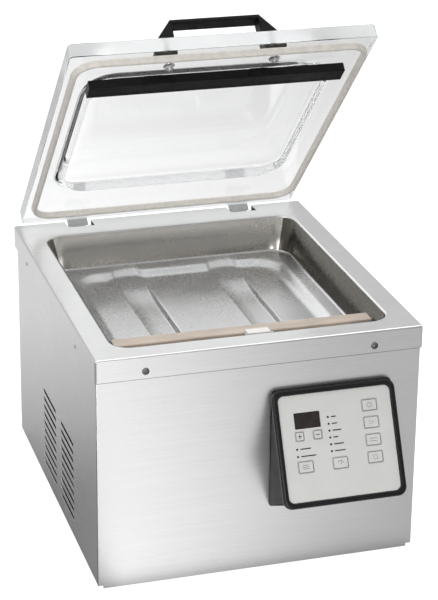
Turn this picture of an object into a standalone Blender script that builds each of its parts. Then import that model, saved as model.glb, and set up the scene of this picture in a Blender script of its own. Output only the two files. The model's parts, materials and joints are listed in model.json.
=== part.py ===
"""A table-top chamber vacuum packing machine, in metres with +Z up and the front facing -Y.
The origin is on the resting surface, under the middle of the machine with its lid open.
Its pieces are drawn about the middle of the cabinet, and CABINET_Y places that middle."""

import math

import bmesh
import bpy
from mathutils import Matrix, Vector

CABINET_Y = 0.0148       # middle of the cabinet, from the origin

# Clearances and sheet
GAP = 0.0003            # between pieces that touch
SHEET = 0.0015          # stainless sheet of the cabinet
FOOT_CLEAR = 0.0015     # the front panel's lower edge above the resting surface

# Cabinet
CAB_X = 0.182           # outer face of a side panel
CAB_FRONT = -0.2015     # outer face of the front panel
CAB_BACK = 0.2085       # outer face of the rear panel
SIDE_Z = 0.005          # lower edge of the side panels and the base plate

# Deck, the shoe-box lid of the cabinet
DECK_X = 0.184
DECK_FRONT = -0.2035
DECK_BACK = 0.2185
DECK_TOP = 0.273
DECK_SHEET = 0.0015
FLANGE = 0.026          # height of the deck's turned-down flange
OPEN_X = 0.1565         # chamber opening, half width
OPEN_FRONT = -0.176
OPEN_BACK = 0.172
OPEN_R = 0.022

# Chamber tub: inset from the opening and depth below the deck, down a wall, over the ledge
# round the floor and down to the floor
TUB_SHEET = 0.0015
TUB_FLOOR = 0.052
TUB_PROFILE = (
    (0.0012, 0.0020), (0.0075, 0.0410), (0.0095, 0.0430), (0.0240, 0.0445),
    (0.0262, 0.0456), (0.0325, 0.0510), (0.0355, TUB_FLOOR),
)
LEDGE_START = 0.0095
LEDGE_FRONT = 0.45      # share of the ledge's width that fits in front, under the seal bar
TUB_FLANGE = 0.009
CHANNEL_X = (-0.0605, 0.0605)
CHANNEL_W = 0.033
CHANNEL_DEEP = 0.006
CHANNEL_FRONT = -0.1355
CHANNEL_BACK = 0.134
CHANNEL_R = 0.006

# Seal bar and its lift
SEAL_Y = -0.132
SEAL_HALF = 0.1485
SEAL_W = 0.020
SEAL_TOP = DECK_TOP - 0.013
SEAL_H = 0.014
TAPE_T = 0.0012
LIFT_X = 0.100
LIFT_R = 0.0070
ROD_R = 0.004
ROD_CLEAR = 0.0004

# Bag stop in front of the seal bar
NOZZLE_X0 = -0.005
NOZZLE_X1 = 0.021
NOZZLE_DEEP = 0.0030    # its top below the deck
NOZZLE_H = 0.007
NOZZLE_LEN = 0.012

# Lid, drawn closed: y from the pivot towards the back, z up from the pivot
PIVOT_Y = 0.2055
PIVOT_Z = DECK_TOP - 0.009
LID_OPEN = math.radians(45.5)
LID_X = 0.174
LID_LEN = 0.404
LID_T = 0.017
LID_BACK = 0.0035
LID_UNDER = 0.017
DOME_X = 0.137
DOME_S0 = 0.080         # dome from here to DOME_S1, counted from the lid's rear edge
DOME_S1 = 0.326
DOME_R = 0.034
GASKET_X = 0.1650
GASKET_S0 = 0.026
GASKET_S1 = 0.3925
GASKET_R = 0.024
COUNTER_S = LID_BACK + PIVOT_Y - SEAL_Y
COUNTER_HALF = 0.1465
COUNTER_W = 0.021
COUNTER_H = 0.010
CLIPS = (("left", -0.0735), ("right", 0.0465))
CLIP_HALF = 0.0105
CLIP_H = 0.0095
HANDLE_S = LID_LEN - 0.031
HANDLE_X = 0.060        # bolts of the handle
HANDLE_H = 0.034
HANDLE_W = 0.018
HANDLE_T = 0.0045       # thickness of its grip
HANDLE_TOP = 0.051      # half length of its grip
HANDLE_BASE = 0.075     # half length over its feet
HANDLE_WINDOW = 0.0495  # half width of the finger gap
HANDLE_FOOT = 0.005

# Hinges
HINGE_X = 0.104
EAR_HALF = 0.0155       # half length over a hinge's two ears
EAR_GAP = 0.0103        # half of the gap between them
NOTCH_CLEAR = 0.0012    # deck's notch round a hinge
LEAF_T = 0.0025
LEAF_HALF = 0.0125
NECK_HALF = 0.0095      # the leaf's neck, between the ears
LEAF_LOW = -0.0030
LEAF_WIDE_Z = 0.0095    # the leaf is wide from here up
LEAF_TOP = LID_UNDER + LID_T - 0.0006
KNUCKLE_LEN = 0.0115
KNUCKLE_R = 0.0038
PIN_R = 0.002
PIN_CLEAR = 0.00005
BASE_LOW = -0.0125      # underside of a hinge base, from the pivot

# Control housing
PANEL_TILT = math.radians(26)
PANEL_LEN = 0.128
PANEL_X0 = 0.009
PANEL_X1 = 0.150
PANEL_TOP = 0.2170
PANEL_PROUD = 0.0065    # the face's upper edge in front of the front panel
HOUSING_INSET = 0.0022
HOUSING_WALL = 0.003
HOUSING_FOOT = 0.0755   # where the housing's underside meets the front panel
BEZEL_T = 0.0055
BEZEL_W = 0.0062
BEZEL_R = 0.010
OVERLAY_T = 0.0014
KEY_T = 0.0008

for old in list(bpy.data.objects):
    bpy.data.objects.remove(old, do_unlink=True)
MACHINE = bpy.data.collections.new("vacuum_packing_machine")
CUTTERS = bpy.data.collections.new("cutters")
bpy.context.scene.collection.children.link(MACHINE)
bpy.context.scene.collection.children.link(CUTTERS)
CABINET = bpy.data.objects.new("cabinet_frame", None)
CABINET.location = (0, CABINET_Y, 0)
MACHINE.objects.link(CABINET)


def material(name, colour, roughness, metallic=0.0, alpha=1.0):
    mat = bpy.data.materials.new(name)
    mat.use_nodes = True
    shader = mat.node_tree.nodes["Principled BSDF"]
    shader.inputs["Base Color"].default_value = (*colour, 1.0)
    shader.inputs["Roughness"].default_value = roughness
    shader.inputs["Metallic"].default_value = metallic
    shader.inputs["Alpha"].default_value = alpha
    return mat


STEEL = ((0.62, 0.62, 0.61), 0.32, 1.0)
ZINC = ((0.55, 0.56, 0.57), 0.45, 1.0)
BLACK = ((0.018, 0.018, 0.02), 0.42)
RUBBER = ((0.02, 0.02, 0.02), 0.8)


# Building blocks ---------------------------------------------------------------------------

def place(name, mesh, look, parent=None, location=(0, 0, 0)):
    """A named part with a material of its own, at a place in its parent's frame."""
    obj = bpy.data.objects.new(name, mesh)
    MACHINE.objects.link(obj)
    obj.parent = parent or CABINET
    obj.location = location
    mesh.materials.clear()
    mesh.materials.append(material(name, *look))
    return obj


def empty(name, location, rotation_x=0.0):
    obj = bpy.data.objects.new(name, None)
    MACHINE.objects.link(obj)
    obj.parent = CABINET
    obj.location = location
    obj.rotation_euler = (rotation_x, 0, 0)
    return obj


def bevel(obj, width, segments=1):
    mod = obj.modifiers.new("rounded_edges", "BEVEL")
    mod.width = width
    mod.segments = segments
    mod.limit_method = "ANGLE"
    mod.angle_limit = math.radians(40)
    return obj


def smooth(obj):
    obj.data.shade_smooth()
    obj.data.set_sharp_from_angle(angle=math.radians(35))
    return obj


def finish_mesh(bm, name):
    mesh = bpy.data.meshes.new(name)
    bmesh.ops.recalc_face_normals(bm, faces=bm.faces)
    bm.to_mesh(mesh)
    bm.free()
    return mesh


def box_mesh(name, lo, hi):
    lo, hi = Vector(lo), Vector(hi)
    size = hi - lo
    bm = bmesh.new()
    fit = Matrix.Translation((lo + hi) / 2) @ Matrix.Diagonal((*size, 1.0))
    bmesh.ops.create_cube(bm, size=1.0, matrix=fit)
    return finish_mesh(bm, name)


def box(name, lo, hi, look, parent=None, edge=0.0):
    obj = place(name, box_mesh(name, lo, hi), look, parent)
    if edge:
        bevel(obj, edge)
    return obj


def turn_to(axis):
    return {
        "X": Matrix.Rotation(math.radians(90), 4, "Y"),
        "Y": Matrix.Rotation(math.radians(-90), 4, "X"),
        "Z": Matrix.Identity(4),
    }[axis]


def rod_mesh(name, start, axis, radius, length, sides=20):
    bm = bmesh.new()
    middle = Vector(start) + turn_to(axis).to_3x3() @ Vector((0, 0, length / 2))
    fit = Matrix.Translation(middle) @ turn_to(axis)
    bmesh.ops.create_cone(bm, cap_ends=True, segments=sides, radius1=radius,
                          radius2=radius, depth=length, matrix=fit)
    return finish_mesh(bm, name)


def rod(name, start, axis, radius, length, look, parent=None, sides=20):
    return smooth(place(name, rod_mesh(name, start, axis, radius, length, sides), look, parent))


def rounded_ring(x0, x1, y0, y1, radius, z, steps=4):
    """The points of a rectangle with round corners, anticlockwise, at one height."""
    points = []
    corners = ((x1, y1, 0), (x0, y1, 90), (x0, y0, 180), (x1, y0, 270))
    for x, y, start in corners:
        cx = x - radius if x == x1 else x + radius
        cy = y - radius if y == y1 else y + radius
        for step in range(steps + 1):
            angle = math.radians(start + 90 * step / steps)
            points.append((cx + radius * math.cos(angle), cy + radius * math.sin(angle), z))
    return points


def ring_loft(name, rings, look, parent=None, closed=False):
    """A solid through a row of rings: capped at both ends, or closed back on its first ring."""
    bm = bmesh.new()
    rows = [[bm.verts.new(p) for p in ring] for ring in rings]
    pairs = list(zip(rows, rows[1:]))
    if closed:
        pairs.append((rows[-1], rows[0]))
    for low, high in pairs:
        for i in range(len(low)):
            j = (i + 1) % len(low)
            bm.faces.new((low[i], low[j], high[j], high[i]))
    if not closed:
        bm.faces.new(rows[0])
        bm.faces.new(rows[-1])
    return smooth(place(name, finish_mesh(bm, name), look, parent))


def outline_mesh(name, outlines, half_depth, matrix):
    """Flat outlines in a curve's own plane, extruded both ways and turned into a mesh."""
    curve = bpy.data.curves.new(name, "CURVE")
    curve.dimensions = "2D"
    curve.fill_mode = "BOTH"
    curve.extrude = half_depth
    curve.resolution_u = 1
    for outline in outlines:
        spline = curve.splines.new("POLY")
        spline.points.add(len(outline) - 1)
        for point, (u, v) in zip(spline.points, outline):
            point.co = (u, v, 0, 1)
        spline.use_cyclic_u = True
    obj = bpy.data.objects.new(name, curve)
    CUTTERS.objects.link(obj)
    evaluated = obj.evaluated_get(bpy.context.evaluated_depsgraph_get())
    mesh = bpy.data.meshes.new_from_object(evaluated)
    bpy.data.objects.remove(obj, do_unlink=True)
    bm = bmesh.new()
    bm.from_mesh(mesh)
    bmesh.ops.remove_doubles(bm, verts=bm.verts, dist=0.00001)
    bmesh.ops.recalc_face_normals(bm, faces=bm.faces)
    bm.to_mesh(mesh)
    bm.free()
    mesh.transform(matrix)
    return mesh


def slot_outline(u0, u1, v, half):
    """A slot with round ends, from u0 to u1, centred on v."""
    points = []
    for centre, start in ((u1 - half, -90), (u0 + half, 90)):
        for step in range(5):
            angle = math.radians(start + 45 * step)
            points.append((centre + half * math.cos(angle), v + half * math.sin(angle)))
    return points


def rounded_outline(u0, u1, v0, v1, radius, steps=3):
    return [(u, v) for u, v, _ in rounded_ring(u0, u1, v0, v1, radius, 0, steps)]


def cut(target, mesh, operation="DIFFERENCE"):
    """Cuts a mesh out of a part, or joins it on, in the part's parent's frame."""
    cutter = bpy.data.objects.new(mesh.name + "_cutter", mesh)
    CUTTERS.objects.link(cutter)
    cutter.parent = target.parent
    cutter.hide_render = True
    cutter.display_type = "WIRE"
    mod = target.modifiers.new(cutter.name, "BOOLEAN")
    mod.operation = operation
    mod.solver = "EXACT"
    mod.object = cutter
    return target


# Planes that a flat outline can lie in: local X, local Y, then the way it is extruded
def plane(x_axis, y_axis, origin=(0, 0, 0)):
    x_axis, y_axis = Vector(x_axis), Vector(y_axis)
    basis = Matrix((x_axis, y_axis, x_axis.cross(y_axis))).transposed().to_4x4()
    return Matrix.Translation(origin) @ basis


# Cabinet -------------------------------------------------------------------------------------

def base_plate():
    inset = SHEET + GAP
    pan = box("base_plate", (-CAB_X + inset, CAB_FRONT + inset, SIDE_Z),
              (CAB_X - inset, CAB_BACK - inset, SIDE_Z + 0.002), ZINC)
    return pan


def front_panel():
    lo = (-CAB_X, CAB_FRONT, FOOT_CLEAR)
    hi = (CAB_X, CAB_FRONT + SHEET, DECK_TOP - DECK_SHEET - GAP)
    panel = box("front_panel", lo, hi, STEEL)
    notch_w, notch_h = 0.006, SIDE_Z - FOOT_CLEAR
    for side in (-1, 1):
        x_in, x_out = side * (CAB_X - notch_w), side * (CAB_X + 0.002)
        cut(panel, box_mesh(f"front_notch_{side + 1}",
                            (min(x_in, x_out), CAB_FRONT - 0.002, 0),
                            (max(x_in, x_out), CAB_FRONT + 0.004, SIDE_Z)))
    cut(panel, box_mesh("cable_window", (0.05, CAB_FRONT - 0.002, 0.12),
                        (0.11, CAB_FRONT + 0.004, 0.17)))
    return panel


VENT_COLUMNS = ((0.003, 0.070), (-0.0865, -0.0215))
VENT_TOP = 0.1195
VENT_PITCH = 0.01025
VENT_ROWS = 10
VENT_HALF = 0.0024


def vent_outlines(columns):
    return [slot_outline(u0, u1, VENT_TOP - row * VENT_PITCH, VENT_HALF)
            for u0, u1 in columns for row in range(VENT_ROWS)]


def side_panel(name, side, vented):
    lo_y, hi_y = CAB_FRONT + SHEET + GAP, CAB_BACK
    x_in, x_out = side * (CAB_X - SHEET), side * CAB_X
    panel = box(name, (min(x_in, x_out), lo_y, SIDE_Z),
                (max(x_in, x_out), hi_y, DECK_TOP - DECK_SHEET - GAP), STEEL)
    if vented:
        middle = (side * (CAB_X - SHEET / 2), 0, 0)
        cut(panel, outline_mesh("side_vents", vent_outlines(VENT_COLUMNS), 0.004,
                                plane((0, 1, 0), (0, 0, 1), middle)))
    return panel


def rear_panel():
    x = CAB_X - SHEET - GAP
    top = PIVOT_Z + BASE_LOW - GAP
    panel = box("rear_panel", (-x, CAB_BACK - SHEET, SIDE_Z), (x, CAB_BACK, top), STEEL)
    outlines = vent_outlines(((-0.130, -0.070),))
    cut(panel, outline_mesh("rear_vents", outlines, 0.004,
                            plane((1, 0, 0), (0, 0, 1), (0, CAB_BACK - SHEET / 2, 0))))
    cut(panel, box_mesh("inlet_window", (0.0985, CAB_BACK - 0.004, 0.0385),
                        (0.1275, CAB_BACK + 0.004, 0.0615)))
    return panel


def top_deck():
    edge = 0.003
    rings = [
        rounded_ring(-DECK_X, DECK_X, DECK_FRONT, DECK_BACK, 0.0025, DECK_TOP - FLANGE),
        rounded_ring(-DECK_X, DECK_X, DECK_FRONT, DECK_BACK, 0.0025, DECK_TOP - 0.0016),
        rounded_ring(-DECK_X + 0.0016, DECK_X - 0.0016, DECK_FRONT + 0.0016, DECK_BACK - 0.0016,
                     0.0012, DECK_TOP),
        rounded_ring(-OPEN_X - edge, OPEN_X + edge, OPEN_FRONT - edge, OPEN_BACK + edge,
                     OPEN_R + edge, DECK_TOP),
        rounded_ring(-OPEN_X - 0.001, OPEN_X + 0.001, OPEN_FRONT - 0.001, OPEN_BACK + 0.001,
                     OPEN_R + 0.001, DECK_TOP - 0.0006),
        rounded_ring(-OPEN_X, OPEN_X, OPEN_FRONT, OPEN_BACK, OPEN_R, DECK_TOP - DECK_SHEET),
    ]
    inner = DECK_SHEET
    rings.append(rounded_ring(-DECK_X + inner, DECK_X - inner, DECK_FRONT + inner,
                              DECK_BACK - inner, 0.001, DECK_TOP - DECK_SHEET))
    rings.append(rounded_ring(-DECK_X + inner, DECK_X - inner, DECK_FRONT + inner,
                              DECK_BACK - inner, 0.001, DECK_TOP - FLANGE))
    deck = ring_loft("top_deck", rings, STEEL, closed=True)
    for side in (-1, 1):
        centre = side * HINGE_X
        cut(deck, box_mesh(f"hinge_notch_{side + 1}",
                           (centre - EAR_HALF - NOTCH_CLEAR, PIVOT_Y - 0.0095, PIVOT_Z - 0.0165),
                           (centre + EAR_HALF + NOTCH_CLEAR, DECK_BACK + 0.004, DECK_TOP + 0.004)))
    return deck


def tub_ring(inset, depth, grow=0.0):
    """One level of the tub, or of its outside, which is larger by grow."""
    front = inset - (1 - LEDGE_FRONT) * max(0.0, inset - LEDGE_START) - grow
    inset = inset - grow
    radius = OPEN_R + inset * 0.55 + grow
    return rounded_ring(-OPEN_X + inset, OPEN_X - inset, OPEN_FRONT + front, OPEN_BACK - inset,
                        radius, DECK_TOP - depth, steps=6)


def chamber_tub():
    """A deep-drawn tub with a ledge round its floor, two air channels in the floor and a flange."""
    inside = [tub_ring(inset, depth) for inset, depth in reversed(TUB_PROFILE)]
    outside = [tub_ring(inset, depth + TUB_SHEET, TUB_SHEET) for inset, depth in TUB_PROFILE[1:]]
    top, under = DECK_SHEET + GAP, DECK_SHEET + GAP + TUB_SHEET
    mouth = TUB_PROFILE[0][0]
    rim = [tub_ring(mouth, top), tub_ring(-TUB_FLANGE, top), tub_ring(-TUB_FLANGE, under),
           tub_ring(mouth - TUB_SHEET, under)]
    rings = inside[:-1] + rim + outside
    tub = ring_loft("chamber_tub", rings, STEEL)
    floor = DECK_TOP - TUB_FLOOR
    for index, x in enumerate(CHANNEL_X):
        outer = rounded_outline(x - CHANNEL_W / 2 - TUB_SHEET, x + CHANNEL_W / 2 + TUB_SHEET,
                                CHANNEL_FRONT - TUB_SHEET, CHANNEL_BACK + TUB_SHEET, CHANNEL_R)
        inner = rounded_outline(x - CHANNEL_W / 2, x + CHANNEL_W / 2,
                                CHANNEL_FRONT, CHANNEL_BACK, CHANNEL_R)
        deep = CHANNEL_DEEP / 2
        cut(tub, outline_mesh(f"channel_trough_{index}", [outer], deep,
                              plane((1, 0, 0), (0, 1, 0), (0, 0, floor - deep - TUB_SHEET * 0.8))),
            "UNION")
        cut(tub, outline_mesh(f"channel_{index}", [inner], deep + 0.001,
                              plane((1, 0, 0), (0, 1, 0), (0, 0, floor - deep + 0.001))))
    return tub


def feet():
    for x_name, x in (("left", -0.150), ("right", 0.150)):
        for y_name, y in (("front", -0.170), ("rear", 0.175)):
            rod(f"foot_{y_name}_{x_name}", (x, y, 0), "Z", 0.013, SIDE_Z - GAP, RUBBER, sides=24)


def deck_screws():
    for name, x in (("left", -0.129), ("right", 0.1277)):
        head = rod(f"deck_screw_{name}", (x, DECK_FRONT - 0.0022, DECK_TOP - 0.0175), "Y",
                   0.0042, 0.0022 - GAP, ZINC, sides=20)
        bevel(head, 0.0009)


# Seal bar --------------------------------------------------------------------------------------

def lift_cylinders():
    for name, side in (("left", -1), ("right", 1)):
        top = SEAL_TOP - SEAL_H - 0.001
        bottom = DECK_TOP - TUB_FLOOR + GAP
        body = rod(f"lift_cylinder_{name}", (side * LIFT_X, SEAL_Y, bottom), "Z", LIFT_R,
                   top - bottom, ((0.12, 0.12, 0.13), 0.5), sides=20)
        cut(body, rod_mesh(f"lift_bore_{name}", (side * LIFT_X, SEAL_Y, bottom + 0.006), "Z",
                           ROD_R + ROD_CLEAR, 0.05, sides=20))


def seal_bar():
    frame = empty("seal_bar_lift", (0, SEAL_Y, SEAL_TOP))
    half = SEAL_W / 2
    bar = box("seal_bar", (-SEAL_HALF, -half, -SEAL_H), (SEAL_HALF, half, -TAPE_T - GAP),
              ((0.30, 0.27, 0.22), 0.55), frame, edge=0.0006)
    tape = box("seal_tape", (-SEAL_HALF + 0.001, -half + 0.0008, -TAPE_T),
               (SEAL_HALF - 0.001, half - 0.0008, 0), ((0.60, 0.47, 0.34), 0.6), frame)
    for name, side in (("left", -1), ("right", 1)):
        bottom = DECK_TOP - TUB_FLOOR + 0.008 - SEAL_TOP
        rod(f"lift_rod_{name}", (side * LIFT_X, 0, bottom), "Z", ROD_R,
            -SEAL_H - GAP - bottom, ((0.6, 0.6, 0.6), 0.25, 1.0), frame, sides=20)
    return bar, tape


def nozzle_block():
    """A small block behind the chamber's front wall that stops the bag's mouth."""
    top = DECK_TOP - NOZZLE_DEEP
    front = OPEN_FRONT + 0.0087
    block = box("nozzle_block", (NOZZLE_X0, front, top - NOZZLE_H),
                (NOZZLE_X1, front + NOZZLE_LEN, top), ((0.75, 0.75, 0.74), 0.4), edge=0.0008)
    bore = rod_mesh("nozzle_bore", (NOZZLE_X0 - 0.005, front + 0.005, top - NOZZLE_H / 2), "X",
                    0.0011, 0.008, 12)
    cut(block, bore)
    wall = box_mesh("nozzle_foot", (0.004, OPEN_FRONT + 0.0032, top - 0.0065),
                    (0.012, front + 0.001, top - 0.0042))
    cut(block, wall, "UNION")
    return block


# Lid --------------------------------------------------------------------------------------------

def lid_frame():
    return empty("lid_hinge", (0, PIVOT_Y, PIVOT_Z), -LID_OPEN)


def along(s):
    """The y, from the pivot, of a place that is s from the closed lid's rear edge."""
    return LID_BACK - s


def dome_ring(inset, height):
    return rounded_ring(-DOME_X + inset, DOME_X - inset, along(DOME_S1) + inset,
                        along(DOME_S0) - inset, DOME_R, LID_UNDER + height, steps=6)


def dome_profile(rise, start, width):
    """Inset and height of the dome's wall, from the flat flange up to its crown."""
    steps = 6
    points = []
    for step in range(steps + 1):
        angle = math.radians(90 * step / steps)
        points.append((width * (1 - math.cos(angle)), start + rise * math.sin(angle)))
    return points


def lid_plate(frame):
    """A thick clear plate, blown outwards into a shallow dome."""
    flat = rounded_ring(-LID_X, LID_X, along(LID_LEN), along(0), 0.004, LID_UNDER, steps=6)
    flat_top = rounded_ring(-LID_X, LID_X, along(LID_LEN), along(0), 0.004, LID_UNDER + LID_T,
                            steps=6)
    inside = [dome_ring(inset, height) for inset, height in dome_profile(0.027, 0, 0.032)]
    outside = [dome_ring(inset - 0.007, height)
               for inset, height in dome_profile(0.018, LID_T, 0.036)]
    rings = inside[::-1] + [flat, flat_top] + outside
    return ring_loft("lid_plate", rings, ((0.85, 0.88, 0.88), 0.08, 0.0, 0.35), frame)


def lid_gasket(frame):
    def ring(out, height):
        return rounded_ring(-GASKET_X - out, GASKET_X + out, along(GASKET_S1) - out,
                            along(GASKET_S0) + out, GASKET_R + out, LID_UNDER - height, steps=6)

    half, low = 0.0035, 0.0077
    rings = [ring(half, GAP), ring(-half, GAP), ring(-half * 0.6, low), ring(half * 0.6, low)]
    return ring_loft("lid_gasket", rings, ((0.62, 0.58, 0.52), 0.6), frame, closed=True)


def counter_bar(frame):
    """The pressure bar that the seal bar presses the bag against, in two clips."""
    y = along(COUNTER_S)
    under = LID_UNDER - GAP
    half = COUNTER_W / 2
    bar = box("counter_bar", (-COUNTER_HALF, y - half, under - COUNTER_H),
              (COUNTER_HALF, y + half, under), BLACK, frame, edge=0.0008)
    for name, x in CLIPS:
        box(f"counter_bar_clip_{name}", (x - CLIP_HALF, y - half - 0.0020, under - CLIP_H),
            (x + CLIP_HALF, y - half - GAP, under), ((0.05, 0.05, 0.05), 0.5), frame, edge=0.0005)
    return bar


def lid_handle(frame):
    """A bridge handle: a flat grip on two legs that widen outwards, bolted through the lid."""
    half = [(HANDLE_WINDOW, 0), (HANDLE_BASE, 0), (HANDLE_BASE, HANDLE_FOOT - 0.001),
            (HANDLE_TOP, HANDLE_H)]
    window = [(-HANDLE_WINDOW, HANDLE_H - HANDLE_T), (HANDLE_WINDOW, HANDLE_H - HANDLE_T)]
    outline = half + [(-x, z) for x, z in reversed(half)] + window
    origin = (0, along(HANDLE_S), LID_UNDER + LID_T + GAP)
    mesh = outline_mesh("lid_handle", [outline], HANDLE_W / 2, plane((1, 0, 0), (0, 0, 1), origin))
    handle = place("lid_handle", mesh, BLACK, frame)
    bevel(handle, 0.0007)
    return handle


def handle_bolts(plate, handle, frame):
    """Each bolt is set in a leg of the handle, and has a washer nut under the lid."""
    for name, x in (("left", -HANDLE_X), ("right", HANDLE_X)):
        y = along(HANDLE_S)
        low = LID_UNDER - 0.005
        bore = rod_mesh(f"bolt_bore_{name}", (x, y, low), "Z", 0.0033, 0.045, 16)
        cut(plate, bore)
        cut(handle, rod_mesh(f"handle_bore_{name}", (x, y, low), "Z", 0.0033, 0.032, 16))
        rod(f"handle_bolt_{name}", (x, y, low - 0.001), "Z", 0.0029, 0.0315,
            ((0.5, 0.5, 0.5), 0.3, 1.0), frame, sides=16)
        nut = rod(f"handle_nut_{name}", (x, y, LID_UNDER - GAP - 0.0045), "Z", 0.0065, 0.0045,
                  ((0.5, 0.5, 0.5), 0.3, 1.0), frame, sides=20)
        cut(nut, rod_mesh(f"nut_bore_{name}", (x, y, low - 0.004), "Z", 0.0032, 0.014, 16))


# Hinges ----------------------------------------------------------------------------------------

def hinge(name, x, frame):
    """A leaf on the lid's rear edge turns on a pin held by two ears in the deck's notch."""
    leaf_y = LID_BACK + GAP
    outline = [(leaf_y, LEAF_LOW), (leaf_y + LEAF_T, LEAF_LOW), (leaf_y + LEAF_T, LEAF_TOP),
               (leaf_y, LEAF_TOP)]
    mesh = outline_mesh(f"hinge_leaf_{name}", [outline], NECK_HALF,
                        plane((0, 1, 0), (0, 0, 1), (x, 0, 0)))
    leaf = place(f"hinge_leaf_{name}", mesh, STEEL, frame)
    cut(leaf, box_mesh(f"leaf_plate_{name}", (x - LEAF_HALF, leaf_y, LEAF_WIDE_Z),
                       (x + LEAF_HALF, leaf_y + LEAF_T, LEAF_TOP)), "UNION")
    cut(leaf, rod_mesh(f"knuckle_{name}", (x - NECK_HALF, 0, 0), "X", KNUCKLE_R, KNUCKLE_LEN, 20),
        "UNION")
    cut(leaf, box_mesh(f"knuckle_web_{name}", (x - NECK_HALF, 0.0, -0.0028),
                       (x - NECK_HALF + KNUCKLE_LEN, leaf_y + 0.001, 0.0028)), "UNION")
    cut(leaf, rod_mesh(f"knuckle_bore_{name}", (x - 0.02, 0, 0), "X", PIN_R + PIN_CLEAR, 0.04, 20))

    tab_y = CAB_BACK + GAP - PIVOT_Y
    ear = [(-0.0080, BASE_LOW), (tab_y, BASE_LOW), (tab_y, BASE_LOW - 0.012),
           (0.0060, BASE_LOW - 0.012), (0.0060, 0.0020), (0.0030, 0.0050),
           (-0.0030, 0.0050), (-0.0080, 0.0010)]
    at = Vector((x, PIVOT_Y, PIVOT_Z))
    mesh = outline_mesh(f"hinge_base_{name}", [ear], EAR_HALF, plane((0, 1, 0), (0, 0, 1), at))
    base = place(f"hinge_base_{name}", mesh, STEEL)
    cut(base, box_mesh(f"hinge_gap_{name}", at + Vector((-EAR_GAP, -0.02, BASE_LOW + 0.003)),
                       at + Vector((EAR_GAP, 0.02, 0.02))))
    cut(base, rod_mesh(f"ear_bore_{name}", at + Vector((-0.03, 0, 0)), "X", PIN_R + PIN_CLEAR,
                       0.06, 20))
    rod(f"hinge_pin_{name}", at + Vector((-EAR_HALF - 0.0005, 0, 0)), "X", PIN_R,
        2 * EAR_HALF + 0.001, ((0.6, 0.6, 0.6), 0.25, 1.0), sides=20)
    lid_spring(name, at + Vector((0.0032, 0, 0)))


def lid_spring(name, at):
    """A torsion spring of round wire, wound on the pin."""
    wire, turns, coil_r, length = 0.0006, 4, 0.0032, 0.0060
    per_turn = 14
    count = turns * per_turn
    curve = bpy.data.curves.new(f"lid_spring_{name}", "CURVE")
    curve.dimensions = "3D"
    curve.bevel_depth = wire
    curve.bevel_resolution = 1
    curve.use_fill_caps = True
    spline = curve.splines.new("POLY")
    spline.points.add(count)
    for i, point in enumerate(spline.points):
        angle = 2 * math.pi * i / per_turn
        point.co = (length * i / count, coil_r * math.cos(angle), coil_r * math.sin(angle), 1)
    spring = bpy.data.objects.new(f"lid_spring_{name}", curve)
    MACHINE.objects.link(spring)
    spring.parent = CABINET
    spring.location = at
    curve.materials.append(material(spring.name, (0.5, 0.5, 0.5), 0.35, 1.0))


# Control panel ----------------------------------------------------------------------------------

def panel_frame():
    """An empty at the middle of the sloping face: x right, z up the face, y into the housing."""
    centre_y = CAB_FRONT - PANEL_PROUD - math.sin(PANEL_TILT) * PANEL_LEN / 2
    centre_z = PANEL_TOP - math.cos(PANEL_TILT) * PANEL_LEN / 2
    middle = (PANEL_X0 + PANEL_X1) / 2
    return empty("panel_frame", (middle, centre_y, centre_z), -PANEL_TILT)


def wedge_outline(inset, front_in):
    """The housing's side view in world y and z."""
    lean = math.tan(PANEL_TILT)
    y_back = CAB_FRONT - GAP
    z_top = PANEL_TOP - inset - 0.002
    z_low = PANEL_TOP - math.cos(PANEL_TILT) * PANEL_LEN + inset + 0.002
    face_top = CAB_FRONT - PANEL_PROUD + front_in

    def face_y(z):
        return face_top - (PANEL_TOP - z) * lean

    return [(y_back, HOUSING_FOOT + inset), (face_y(z_low), z_low), (face_y(z_top), z_top),
            (y_back, z_top)]


def control_housing():
    x0, x1 = PANEL_X0 + HOUSING_INSET, PANEL_X1 - HOUSING_INSET
    middle = ((x0 + x1) / 2, 0, 0)
    side_view = plane((0, 1, 0), (0, 0, 1), middle)
    body = outline_mesh("control_housing", [wedge_outline(0.0, BEZEL_T + 0.0008)],
                        (x1 - x0) / 2, side_view)
    housing = place("control_housing", body, ((0.045, 0.045, 0.048), 0.5))
    hollow = wedge_outline(HOUSING_WALL, BEZEL_T + HOUSING_WALL + 0.0015)
    hollow[0] = (CAB_FRONT + 0.004, hollow[0][1])
    hollow[3] = (CAB_FRONT + 0.004, hollow[3][1])
    cut(housing, outline_mesh("housing_hollow", [hollow], (x1 - x0) / 2 - HOUSING_WALL, side_view))
    return housing


# Keys of the panel: name, middle x, middle z up the face, width, height
KEY_W = 0.0178
KEY_H = 0.0130
SMALL_KEY = 0.0103
KEY_COLUMN_X = 0.0390
KEY_COLUMN_TOP = 0.0378
KEY_PITCH = 0.0189
KEYS = [
    ("key_plus", -0.0439, 0.0126, SMALL_KEY, SMALL_KEY),
    ("key_minus", -0.0234, 0.0126, SMALL_KEY, SMALL_KEY),
    ("key_function", -0.0409, -0.0205, KEY_W, KEY_H),
    ("key_vacuum", -0.0014, -0.0205, KEY_W, KEY_H),
]
for row, key_name in enumerate(("key_power", "key_start", "key_seal", "key_stop")):
    KEYS.append((key_name, KEY_COLUMN_X, KEY_COLUMN_TOP - row * KEY_PITCH, KEY_W, KEY_H))
DISPLAY = (-0.0334, 0.0292, 0.0290, 0.0170)


def sized(x, z, width, height, grow=0.0):
    return (x - width / 2 - grow, x + width / 2 + grow, z - height / 2 - grow,
            z + height / 2 + grow)


def face_mesh(name, bounds, radius, front, thick):
    """A plate on the sloping face, from front to front + thick in the panel's y."""
    at = (0, front + thick / 2, 0)
    return outline_mesh(name, [rounded_outline(*bounds, radius)], thick / 2,
                        plane((1, 0, 0), (0, 0, 1), at))


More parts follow.
